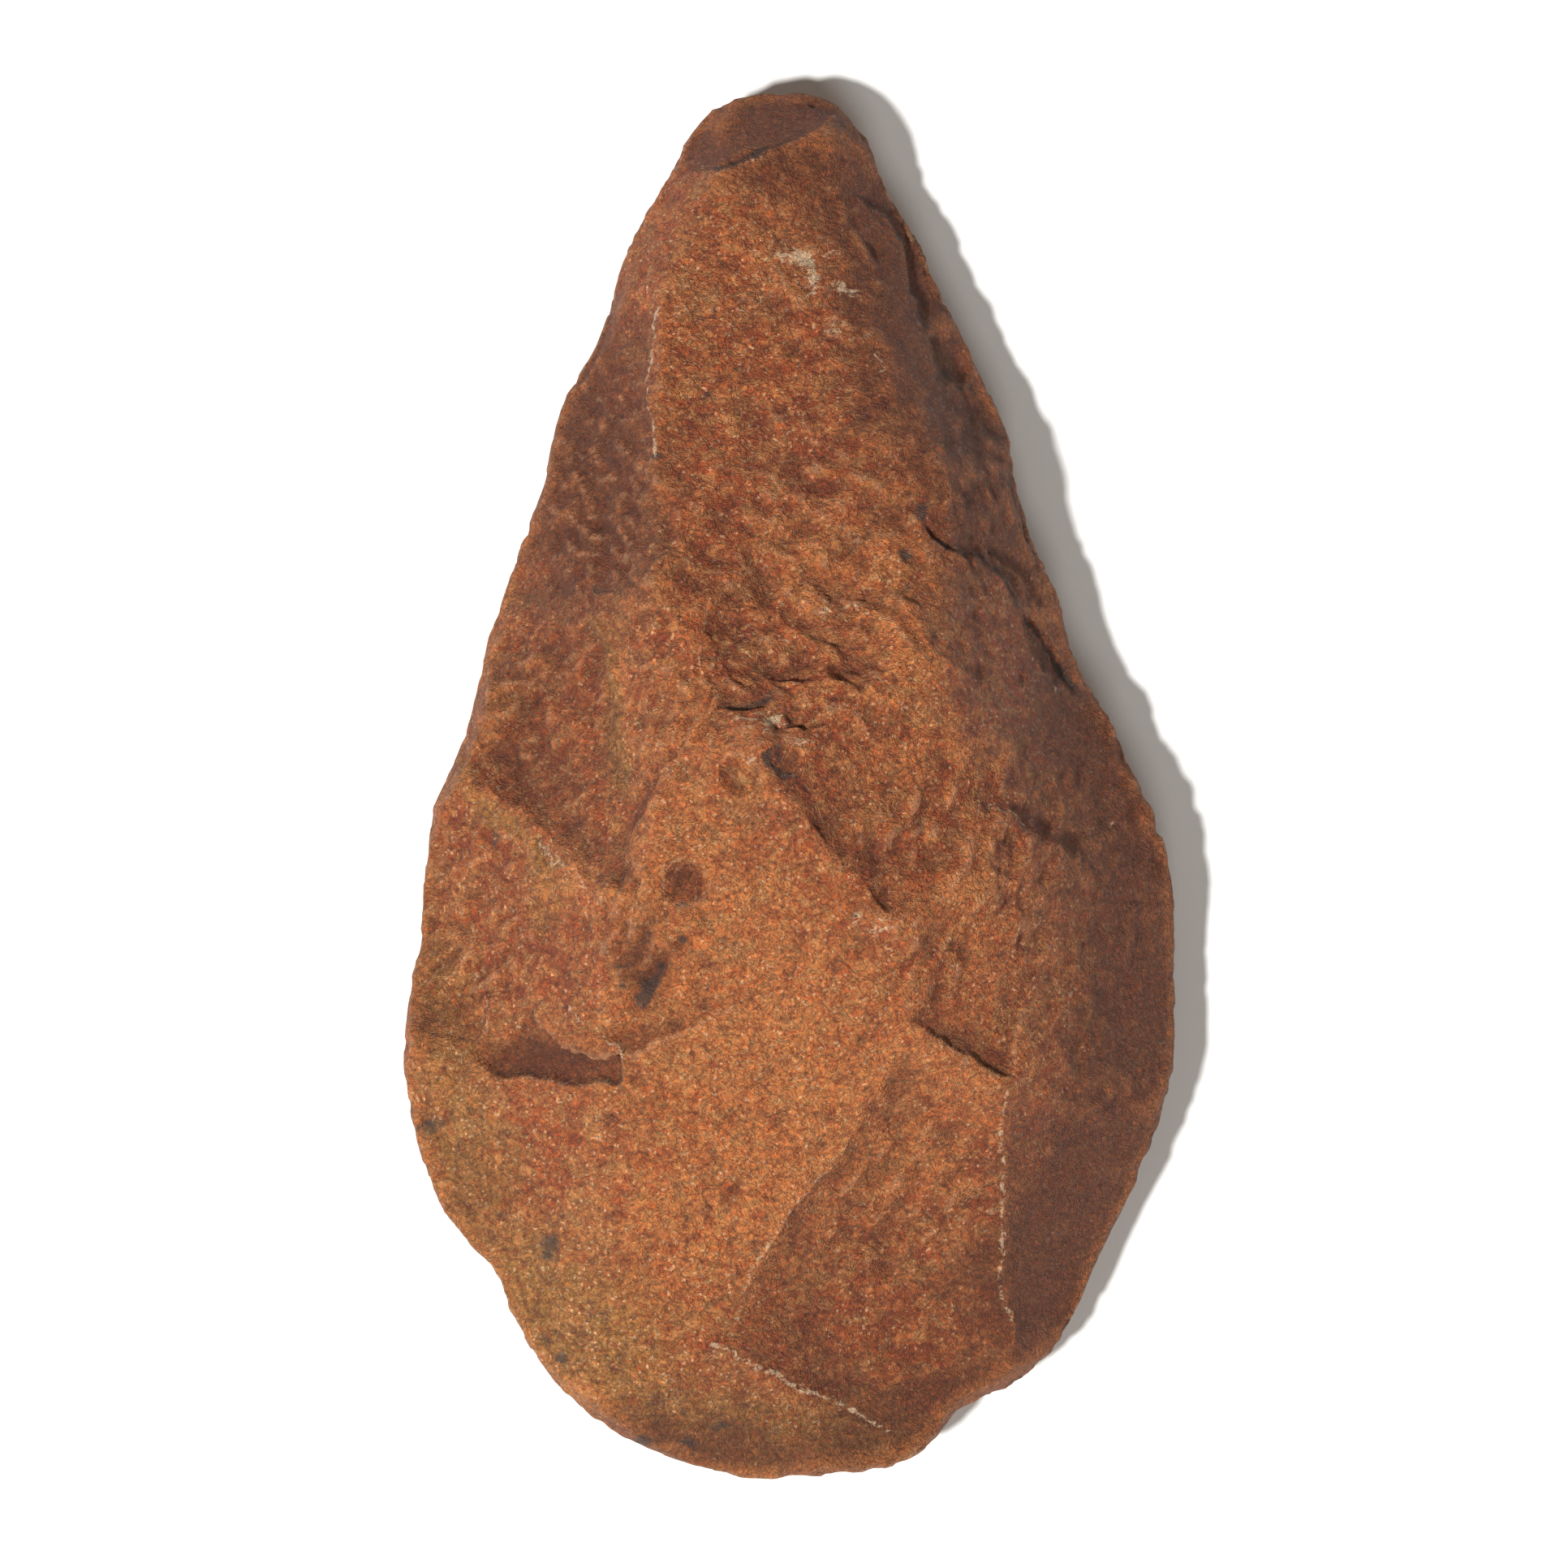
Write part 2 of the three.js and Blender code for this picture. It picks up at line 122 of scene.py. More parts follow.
# read off the photographed face; broken steps: the face drops on the side it falls to,
# over a wall this wide, and comes back level over fade; shadeTone: how much painted shade browns the
# fallen side below, which faces away from the light
ledges = [
    dict(
        name="tip flakes", falls=(1, 0.5), drop=1.1, fade=7, wall=0.5, shadeTone=0.4,
        line=[
            (7.8, 77.4), (9.4, 76.2), (11.3, 74.7), (12.9, 73), (14.4, 71.2), (15, 69.4), (14.7, 67.5),
            (15.2, 65), (15.8, 62.4), (17, 60.1), (18, 58.3),
        ],
    ),
    dict(
        name="edge scale", falls=(1, 0.3), drop=0.8, fade=5, wall=0.4,
        line=[
            (17.9, 58.3), (18.5, 56), (19.6, 54.4), (20.9, 52.8), (22.2, 51.6),
        ],
    ),
    dict(
        name="shoulder crack", falls=(0.6, 1), drop=0.75, fade=6, wall=0.25, shadeTone=0.3,
        line=[
            (16.7, 36), (17.5, 34.4), (18.3, 33.1), (19.2, 32), (20, 31.2), (21.4, 30.1), (23.8, 29.7),
            (25.7, 28.7), (27.3, 27.5), (28.4, 26.1), (29.1, 24.2), (29.2, 22.6),
        ],
    ),
    dict(
        name="shoulder scale", falls=(1, 0.8), drop=0.8, fade=5, wall=0.3,
        line=[
            (24.6, 30.4), (25.8, 29.8), (26.8, 29), (28.6, 28.3), (30, 27.4), (31.2, 26.3), (31.5, 25.1),
            (31, 23.6),
        ],
    ),
    dict(
        name="trough side", falls=(1, 0.6), drop=0.7, fade=4, wall=0.4,
        line=[
            (29.2, 22.6), (29.7, 20.7), (30.5, 18.9), (31.1, 17.2), (32.4, 15.6), (34, 14), (35.5, 11.9),
        ],
    ),
    dict(
        name="waist ridge", falls=(-0.5, 1), drop=1.6, fade=10, wall=2, shadeTone=0.25,
        line=[
            (-26, 24.6), (-22.5, 24.9), (-19.9, 25.7), (-17.7, 27.6), (-15.2, 30.1), (-12.3, 31.8),
        ],
    ),
    dict(
        name="upper scarp", falls=(0.3, 1), drop=1.1, fade=7, wall=1.8, shadeTone=0.3,
        line=[
            (-15.3, 25.2), (-12.4, 24.3), (-9.2, 23.5), (-5.9, 23.2), (-3.8, 22.4), (-1.6, 21.3),
        ],
    ),
    dict(
        name="ripple bowl", falls=(0.4, 1), drop=2.1, fade=8, wall=2.2,
        line=[
            (-13.2, 22.1), (-11.6, 20), (-9.7, 18.8), (-9.6, 17.3), (-9.2, 15.7), (-7, 14.3),
            (-4.3, 13.8), (-1.6, 13.6), (1.9, 13.8), (5.9, 13.2), (9.1, 12.3), (11.5, 11.6),
        ],
    ),
    dict(
        name="ripple hook", falls=(0.6, 1), drop=0.9, fade=5, wall=1.6,
        line=[
            (0.8, 19.6), (3.2, 19), (5.1, 18.4), (6, 17.3), (5.8, 15.9), (4.6, 15.1),
        ],
    ),
    dict(
        name="knob step", falls=(0, 1), drop=0.9, fade=4, wall=0.35,
        line=[
            (-10, 10.2), (-7.5, 9.6), (-5.4, 9.5), (-3.2, 10), (-1.4, 10.6),
        ],
    ),
    dict(
        name="knob cut", falls=(1, 0), drop=0.75, fade=4, wall=0.35,
        line=[
            (-1.1, 10.6), (-1, 9.2), (-1, 7.7),
        ],
    ),
    dict(
        name="knob shelf", falls=(0, 1), drop=0.75, fade=4, wall=0.35,
        line=[
            (-1, 7.9), (0.8, 7.7), (2.9, 7.6), (4.8, 7.7),
        ],
    ),
    dict(
        name="knob disc", falls=(0.5, 1), drop=0.75, fade=5, wall=0.4,
        line=[
            (-9.7, 2), (-8.6, 0.1), (-7, -1), (-5.4, -1), (-4.7, -0.2),
        ],
    ),
    dict(
        name="knob side", falls=(1, 0.3), drop=1.1, fade=5, wall=0.9,
        line=[
            (-2.8, 4.9), (-2.2, 3), (-0.8, 1.7), (0.8, 1.1),
        ],
    ),
    dict(
        name="knob tail", falls=(0, 1), drop=0.4, fade=4, wall=0.5,
        line=[
            (2.9, 3.8), (3.8, 4.9), (5.9, 4.9), (8.6, 3.8), (11.3, 4.4),
        ],
    ),
    dict(
        name="right seam", falls=(1, 0.5), drop=0.8, fade=6, wall=1.0,
        line=[
            (15, 30.7), (14.6, 28), (15, 24.3), (16.1, 21.3), (17.7, 18.9), (19.9, 16.7), (21.7, 15.9),
        ],
    ),
    dict(
        name="seam foot", falls=(0.7, 0.7), drop=0.6, fade=4, wall=0.6,
        line=[
            (20, 16.4), (22.5, 14.8), (25.2, 12.6),
        ],
    ),
    dict(
        name="left step", falls=(-0.5, 1), drop=1.8, fade=11, wall=0.4, shadeTone=0.5,
        line=[
            (-25, -31.7), (-23.7, -32.7), (-22.3, -34), (-21.6, -35.4), (-21.5, -37), (-22.2, -38.6),
            (-22.8, -38.8), (-23.7, -38.3), (-24.8, -38.3), (-26.9, -38.6), (-28.5, -38.6),
            (-30.7, -38.3), (-33.6, -38.1), (-36.9, -38.1), (-39, -37.5), (-40.2, -36.2), (-41, -35.1),
            (-43.1, -34.4),
        ],
    ),
    dict(
        name="edge step", falls=(-0.1, 1), drop=1.1, fade=6, wall=0.5,
        line=[
            (-48.5, -31.8), (-45.7, -32.3), (-43.9, -32.7), (-41.7, -32.9), (-40.1, -33.2),
        ],
    ),
    dict(
        name="fin", falls=(1, 0.6), drop=0.5, fade=2, wall=0.3,
        line=[
            (-28.9, -27.7), (-27.5, -29.2), (-26.4, -30.5), (-25.7, -31.2),
        ],
    ),
    dict(
        name="crease", falls=(0.3, 1), drop=1.5, fade=8, wall=0.6, shadeTone=0.4,
        line=[
            (14.5, -29.9), (17.7, -31.3), (20.3, -32.9), (23.5, -34.8), (26, -36.7), (28.3, -37.6),
            (29.7, -37.2),
        ],
    ),
    dict(
        name="bulge upper", falls=(0.5, 1), drop=1.2, fade=7, wall=1.1, shadeTone=0.2,
        line=[
            (25.4, -2.6), (28.3, -3.7), (29.5, -5.1), (30.8, -6.3), (33.1, -7.7), (35, -9),
            (36.1, -10.6),
        ],
    ),
    dict(
        name="bulge lower", falls=(0.3, 1), drop=1.2, fade=6, wall=1.0,
        line=[
            (24.1, -9.7), (26.3, -11.4), (28.3, -12), (30.8, -12.3), (33.4, -12.8),
        ],
    ),
    dict(
        name="thin arc", falls=(0.3, 1), drop=0.25, fade=3, wall=0.3,
        line=[
            (33.7, 0.8), (36.9, 1.4), (39.4, 1.8), (41.4, 1.3), (42.1, -1.1),
        ],
    ),
    dict(
        name="left arris", falls=(-1, 0), drop=0.9, fade=8, wall=0.8, shadeTone=0.4,
        line=[
            (-17.1, 62.4), (-17.5, 59.6), (-18, 55.7), (-18.3, 51.9), (-18, 49.3), (-17.5, 46.1),
            (-17.3, 43.3), (-16.9, 41.7),
        ],
    ),
    dict(
        name="tip arris", falls=(-0.3, 1), drop=1.4, fade=8, wall=1.2, shadeTone=0.45,
        line=[
            (-16, 78.4), (-11.2, 79.5), (-7, 81), (-2.7, 82.3), (2.2, 84.6), (5.5, 86.6), (8, 89),
        ],
    ),
    dict(
        name="bowl side", falls=(-1, 0), drop=1.1, fade=8, wall=1.2, shadeTone=0.25,
        line=[
            (-26.3, 24.4), (-25.4, 21.9), (-24.4, 18.7), (-23.5, 14.9), (-22.8, 10.4), (-22.2, 6.6),
            (-22.1, 2.1), (-22.1, -3),
        ],
    ),
    dict(
        name="middle arris", falls=(1, 0.6), drop=1.9, fade=11, wall=2.0, shadeTone=0.25,
        line=[
            (-3.6, 4), (-0.6, -1.6), (4.3, -7.9), (9.3, -13.2),
            (14, -18.5),
        ],
    ),
    dict(
        name="right arris", falls=(1, 0), drop=1.2, fade=12, wall=1.8, shadeTone=0.4,
        line=[
            (28.1, -38), (27.2, -42.8), (27, -47.3), (27.2, -55.6),
            (27.5, -62.6), (28.5, -70.3), (29.5, -74),
        ],
    ),
    dict(
        name="butt arris", falls=(0.4, 1), drop=1.3, fade=9, wall=2.0, shadeTone=0.4,
        line=[
            (-11.6, -72.5), (-8.5, -72.6), (-5.3, -74.4), (-1.4, -76.3),
            (3, -78.6), (6.9, -80.2), (10.7, -82.4),
        ],
    ),
    dict(
        name="bowl lip", falls=(0.5, 1), drop=2.8, fade=12, wall=2.6, shadeTone=0.35,
        line=[
            (-44, 2.5), (-40, -0.1), (-36.2, -2.3), (-33.4, -4.2), (-31, -6.5), (-28, -9.6),
            (-25, -12.4), (-21, -13.9),
        ],
    ),
    dict(
        name="spine step", falls=(-1, 0.3), drop=1.3, fade=6, wall=1.5,
        line=[
            (-16.9, 24.5), (-14.8, 20.4), (-12.9, 16.4), (-12.2, 12.2), (-12.6, 8.2), (-13.2, 5),
        ],
    ),
    dict(
        name="lower arris", falls=(1, -0.2), drop=2.0, fade=14, wall=2.6, shadeTone=0.4,
        line=[
            (15.5, -32.5), (11.5, -38.5), (7.5, -45.4), (3.7, -51.1), (-1.4, -56.8), (-4.9, -63.2),
            (-7.6, -71),
        ],
    ),
]

# narrow cuts and veins
grooves = [
    dict(name="tip cut", deep=0.5, wide=0.4, line=[(-11.2, 79.5), (-7, 81), (-2.7, 82.3), (2.2, 84.6)]),
    dict(
        name="shoulder cut",
        deep=0.5,
        wide=0.35,
        line=[
            (16.7, 36), (17.5, 34.4), (19.2, 32), (21.4, 30.1),
            (25.7, 28.7), (28.4, 26.1), (29.2, 22.6),
        ],
    ),
    dict(
        name="trough crack", deep=0.45, wide=0.45,
        line=[
            (30, 23), (31.6, 21.2), (32.9, 19.3), (34, 17.2), (34.8, 15), (36.2, 13.2), (38.3, 11.4),
        ],
    ),
    dict(name="notch", deep=0.6, wide=0.7, line=[(-14.6, -20.7), (-13.7, -19.6), (-12.3, -19.4)]),
    dict(
        name="valley", deep=0.4, wide=1.2,
        line=[
            (-16.7, -14.1), (-17.2, -15.5), (-18.3, -17.4), (-18.9, -19.5), (-18, -21.1),
        ],
    ),
    dict(
        name="black vein", deep=0.4, wide=0.8,
        line=[
            (-16.4, -22.7), (-17.5, -24.3), (-19.1, -25.7), (-19.7, -27.3), (-18.7, -28.8),
        ],
    ),
    dict(name="left edge crack", deep=0.35, wide=0.5, line=[(-41.7, 2.4), (-40.4, 4.3), (-38, 5.8)]),
]

# round scars of popped grains: centre, radius and depth
discs = [
    ((-13.5, -12.4), 2.7, 1.1),
    ((-21.0, -11.7), 1.8, 0.7),
    ((-21.4, -17.9), 0.9, 0.5),
    ((-6.3, 1.2), 2.6, 0.6),
]

# arrises that are rubbed pale; along the left arris and the left step's wall the pale is also a painted
# highlight, where the wall faces the light
paleLines = [
    # left arris: worn pale, and a painted highlight on its wall that faces the light
    dict(
        strength=0.69, wide=0.35,
        line=[
            (-17.1, 62.4), (-17.5, 59.6), (-18, 55.7), (-18.3, 51.9), (-18, 49.3), (-17.5, 46.1),
            (-17.3, 43.3), (-16.9, 41.7),
        ],
    ),
    dict(
        strength=0.52, wide=0.4,
        line=[
            (29.2, 22.6), (29.7, 20.7), (30.5, 18.9), (31.1, 17.2), (32.4, 15.6), (34, 14), (35.5, 11.9),
        ],
    ),
    dict(
        strength=0.6, wide=0.5,
        line=[
            (28.1, -38), (27.4, -40.2), (27, -42.8), (27, -47.3), (27.3, -52.4), (27, -55.6),
            (27.6, -59.4), (27.3, -62.6), (27.9, -67.1), (28.5, -70.3),
        ],
    ),
    dict(
        strength=0.52, wide=0.5,
        line=[
            (7.5, -45.4), (3.7, -51.1), (1.1, -54.3), (-1.4, -56.8), (-3.3, -59.4), (-4.9, -63.2),
            (-6.2, -66.4), (-7.5, -70.3), (-8.1, -72.5),
        ],
    ),
    dict(
        strength=0.69, wide=0.5,
        line=[
            (-11.6, -72.5), (-8.5, -72.6), (-5.3, -74.4), (-1.4, -76.3), (3, -78.6), (6.9, -80.2),
            (10.7, -82.4), (13.9, -84),
        ],
    ),
    dict(
        strength=0.6, wide=0.3,
        line=[
            (-41.8, -22.5), (-41.3, -24.3), (-40.8, -26.2), (-40.2, -28.6), (-39.8, -30.3),
            (-39.3, -31.6), (-38.7, -32.1),
        ],
    ),
    dict(
        strength=0.52, wide=0.3,
        line=[
            (-38.7, -31.9), (-36.9, -31.4), (-34.4, -31.2), (-33.1, -30.5), (-32.8, -29.7),
        ],
    ),
    dict(strength=0.6, wide=0.4, line=[(-29.3, -27.7), (-28.3, -29.3), (-27.2, -30.8)]),
    dict(
        strength=0.6, wide=0.6,
        line=[
            (-33.1, -6.6), (-31.2, -8.2), (-29.6, -9.6), (-28, -11.2), (-26.4, -12.2), (-25.2, -13.3),
        ],
    ),
    dict(strength=0.6, wide=0.4, line=[(-9.5, 8.3), (-7.5, 8.1), (-5.4, 8.1), (-3.2, 8), (-1.4, 8.9)]),
    dict(
        strength=0.43, wide=0.3,
        line=[
            (33.7, 0.8), (36.9, 1.4), (39.4, 1.8), (41.4, 1.3), (42.1, -1.1),
        ],
    ),
    dict(strength=0.52, wide=0.4, line=[(-9.1, 80.1), (-5.3, 80.9), (-2.7, 81.9)]),
    # painted highlight on the left step's wall that faces the light
    dict(strength=0.65, wide=0.35, line=[(-25, -31.7), (-23.7, -32.7), (-22.3, -34), (-21.4, -35.4)]),
    dict(strength=0.65, wide=0.4, line=[(25.4, -2.2), (28.3, -3.2), (30.6, -5.6)]),
]

# cracks and step feet painted dark: painted shade on the walls that face away from the light and down in
# the cracks, with dark stain in some of them
stainAndShadeLines = [
    dict(strength=0.85, wide=0.35, line=[(-11.2, 79.5), (-7, 81), (-2.7, 82.3), (2.2, 84.6)]),
    dict(
        strength=0.7, wide=0.4,
        line=[
            (7.8, 77.4), (11.3, 74.7), (14.4, 71.2), (15, 69.4), (14.7, 67.5), (15.8, 62.4), (18, 58.3),
        ],
    ),
    dict(strength=0.8, wide=0.5, line=[(18.5, 56), (19.6, 54.4), (20.9, 52.8), (22.2, 51.6)]),
    dict(
        strength=0.75, wide=0.35,
        line=[
            (16.7, 36), (18.3, 33.1), (20, 31.2), (23.8, 29.7), (27.3, 27.5), (29.1, 24.2), (29.2, 22.6),
        ],
    ),
    dict(strength=0.8, wide=0.4, line=[(30, 23), (32.9, 19.3), (34.8, 15), (38.3, 11.4)]),
    dict(strength=0.75, wide=0.35, line=[(-10, 10.6), (-7.5, 10.2), (-3.2, 10.6), (-1.4, 11.2)]),
    dict(strength=0.95, wide=0.8, line=[(-3, 4.6), (-2, 2.8), (-0.6, 1.4), (0.8, 0.8)]),
    dict(strength=0.6, wide=0.35, line=[(-1, 8.2), (0.8, 8), (2.9, 7.9), (4.8, 8)]),
    dict(strength=0.55, wide=0.4, line=[(28.3, -4.2), (30.8, -6.8), (33.1, -8.2), (35.4, -9.8)]),
    dict(
        strength=0.6, wide=0.35,
        line=[
            (-21.6, -35.4), (-21.5, -37), (-22.2, -38.6), (-23.7, -38.3), (-28.5, -38.4),
            (-33.6, -37.9), (-39, -37.3),
        ],
    ),
    dict(strength=0.6, wide=0.35, line=[(17.7, -31), (20.3, -32.6), (23.5, -34.5), (28.6, -37.4)]),
    dict(strength=0.75, wide=0.35, line=[(-15.8, -13.6), (-14.6, -15), (-12.6, -15), (-11.2, -13.6)]),
    dict(strength=0.5, wide=0.5, line=[(-17.2, -15.5), (-18.6, -18.4), (-18, -21.1)]),
]

# arrises that stay crisp; away from them the ridges are worn down into soft swells
crispLines = [
    [(-17.1, 62.4), (-18, 55.7), (-18.3, 51.9), (-17.5, 46.1), (-16.9, 40)],
    [(-27, 24.6), (-22.5, 24.9), (-17.7, 27.6), (-12.3, 31.8)],
    [(-25.4, 21.9), (-23.5, 14.9), (-22.2, 6.6), (-22.1, -3), (-21, -12)],
    [(-44, 2.5), (-36.2, -2.3), (-31, -6.5), (-25, -12.4), (-21.1, -13.9)],
    [(-11, 20), (-9, 14), (-5, 8), (-3.6, 4), (4.3, -7.9), (14, -18.5)],
    [
        (14.5, -29.9), (20.3, -32.9), (26, -36.7), (28.1, -38), (27, -47.3), (27, -55.6), (27.5, -64),
        (28.5, -72),
    ],
    [(3.7, -51.1), (-1.4, -56.8), (-4.9, -63.2), (-8.1, -72.5)],
    [(-8.5, -72.6), (-1.4, -76.3), (6.9, -80.2), (15, -85)],
    [(-9.1, 80.1), (-2.7, 81.9), (4, 84.5)],
]

# patches where the broken face is ruffled: middle, reach, turn in degrees,
# size of one wave and how drawn out it is
ruffles = [
    dict(name="right flank", at=(24, 38), reach=(9, 20), turn=-60, wave=2.2, drawn=1.8, high=0.22),
    dict(name="blow ripples", at=(4, 27), reach=(17, 24), turn=-38, wave=1.9, drawn=2.6, high=0.5),
    dict(name="big ripples", at=(4, 22), reach=(15, 18), turn=-32, wave=4.2, drawn=2.2, high=0.62),
    dict(name="right bumps", at=(19, -12), reach=(13, 17), turn=75, wave=2.4, drawn=2, high=0.5),
    dict(name="right swells", at=(20, -10), reach=(13, 20), turn=70, wave=5, drawn=1.6, high=0.6),
    dict(name="left grain", at=(-22, 38), reach=(13, 20), turn=-30, wave=1.5, drawn=3, high=0.3),
    dict(name="tip bumps", at=(1, 66), reach=(12, 14), turn=-50, wave=1.6, drawn=2, high=0.32),
    dict(name="left lumps", at=(-20, -18), reach=(9, 10), turn=60, wave=3, drawn=1.5, high=0.5),
    dict(name="bowl grain", at=(-31, 9), reach=(12, 16), turn=35, wave=1.7, drawn=2.2, high=0.36),
    dict(name="lower scar bumps", at=(14, -54), reach=(12, 22), turn=60, wave=2.6, drawn=1.8, high=0.36),
    dict(name="waist grain", at=(-24, 33), reach=(9, 10), turn=-20, wave=2.1, drawn=1.8, high=0.3),
    dict(name="spine grain", at=(-14, 8), reach=(9, 16), turn=70, wave=2.2, drawn=1.6, high=0.4),
    dict(name="upper swells", at=(2, 50), reach=(16, 24), turn=-45, wave=3.6, drawn=1.8, high=0.26),
    dict(name="right grain", at=(38, -20), reach=(11, 34), turn=80, wave=2.2, drawn=1.6, high=0.2),
    dict(name="great grain", at=(-8, -44), reach=(24, 34), turn=20, wave=1.7, drawn=1.5, high=0.1),
    dict(name="left side grain", at=(-40, -16), reach=(11, 16), turn=30, wave=1.9, drawn=1.8, high=0.33),
]

# clusters of white specks, grey-black stains and tints: x, y, half width, half height and strength; a few
# stain spots are painted shade
paleSpots = [
    (-1.5, 68.4, 1.2, 0.8, 0.43), (1, 68.4, 1, 0.9, 0.56), (2.6, 67.4, 0.7, 1.6, 0.5),
    (3, 64.4, 0.6, 1.5, 0.5), (5.6, 68.6, 1.2, 0.6, 0.37), (6.3, 64.4, 1.1, 1.3, 0.5),
    (8.2, 63.4, 0.8, 0.7, 0.43), (5.4, 58.6, 1.6, 1.3, 0.43), (11.2, -18.9, 1.3, 1.1, 0.56),
    (8.2, -16.7, 1, 0.8, 0.37), (26.5, -55, 0.9, 1, 0.43), (8.7, -66.6, 1, 0.8, 0.5),
    (-1.5, 8.4, 1, 0.6, 0.43), (35.9, -27.1, 1, 1, 0.31), (-11, 79.7, 1.2, 0.8, 0.37),
    (-5.9, 69.2, 1.2, 0.9, 0.31), (12, 53.5, 0.8, 1, 0.31), (-4.6, 3, 1, 0.9, 0.5),
    (-2.7, 8.1, 1, 0.6, 0.5), (1.9, 5.7, 1.4, 0.8, 0.43), (7.8, 22.9, 1.4, 0.7, 0.43),
    (4.6, 22.7, 1.1, 0.8, 0.37), (20.7, 7.6, 0.6, 0.6, 0.43), (30, 26.3, 0.8, 0.8, 0.31),
    (17.2, 41.8, 0.8, 0.5, 0.31), (23.5, 7.2, 0.8, 0.6, 0.43),
    (35.4, 10.1, 0.9, 0.5, 0.31), (-40.5, 17, 0.9, 2, 0.31), (-38.8, 14.5, 1, 0.8, 0.37),
    (1, 66, 8, 6, 0.36), (-14, 61, 4, 6, 0.26), (-8, 60, 5, 5, 0.26), (10, 56, 5, 5, 0.26),
    (-3, 7, 7, 4, 0.36), (10, -17, 5, 4, 0.3), (-31, -8, 6, 4, 0.3), (40, -4, 7, 12, 0.22),
    (38, -32, 8, 16, 0.22), (4, 23, 7, 3, 0.3), (-20, -85, 12, 4, 0.3), (-33, -74, 5, 4, 0.34),
]
stainSpots = [
    (-11, 50.4, 1.1, 1.3, 0.8), (-10.4, 56.7, 1.1, 0.9, 0.6), (-16.8, 42.5, 1.2, 0.6, 0.7),
    (-24.7, 25.1, 1.8, 0.8, 0.8), (14.8, 29.4, 0.8, 1.6, 0.7), (14.8, 25.2, 0.9, 1.3, 0.6),
    (17.2, 35.6, 0.8, 1.6, 0.9), (20.7, 17.5, 1.3, 1, 0.7), (-30.8, -58.8, 1.4, 1.6, 0.9),
    (-31.8, -61, 1.3, 1, 0.7), (-46.8, -44.3, 1.3, 2, 0.8), (-38.4, -7.1, 0.8, 1.2, 0.7),
    (-31.7, -71.7, 1.3, 0.9, 0.8), (-29.5, -74.1, 1.3, 0.8, 0.8), (-19.8, -85, 2.6, 0.9, 0.9),
    (-13.1, -85, 2, 0.8, 0.7), (-9.1, -82.7, 1.5, 0.8, 0.7), (-13.6, -81.1, 0.8, 1, 0.7),
    # (-1.6, 3.8) and (0.1, 1.5) are painted shade in the small hole beside the knob
    (20.1, 53.5, 0.9, 1.4, 0.7), (22, 48.8, 0.8, 1.2, 0.6), (-1.6, 3.8, 0.8, 1.8, 0.9),
    (0.1, 1.5, 1, 1, 0.7), (-2.4, 11.6, 1.2, 0.9, 0.6), (-44.7, -43.7, 1, 1, 0.6),
    (-24.5, -28.9, 0.8, 0.8, 0.6), (-17.8, -25.4, 1.2, 1.4, 1), (-18.9, -27.6, 1.1, 1.3, 1),
    (-16.7, -23.3, 0.7, 1.2, 0.9), (-21.4, -23.2, 1.5, 0.6, 0.8), (-21.6, -25.3, 0.8, 1.2, 0.7),
    (-13.7, -19.6, 0.9, 0.6, 1), (48.4, -33.2, 1, 0.8, 0.6), (32.4, -51.1, 0.9, 1.1, 0.4),
    (-49, -42.8, 0.9, 1.8, 0.7), (17.8, 29.5, 2, 3, 0.3), (34, 36, 1.2, 2.4, 0.5),
    (38.5, -50, 3, 3.5, 0.25),
]
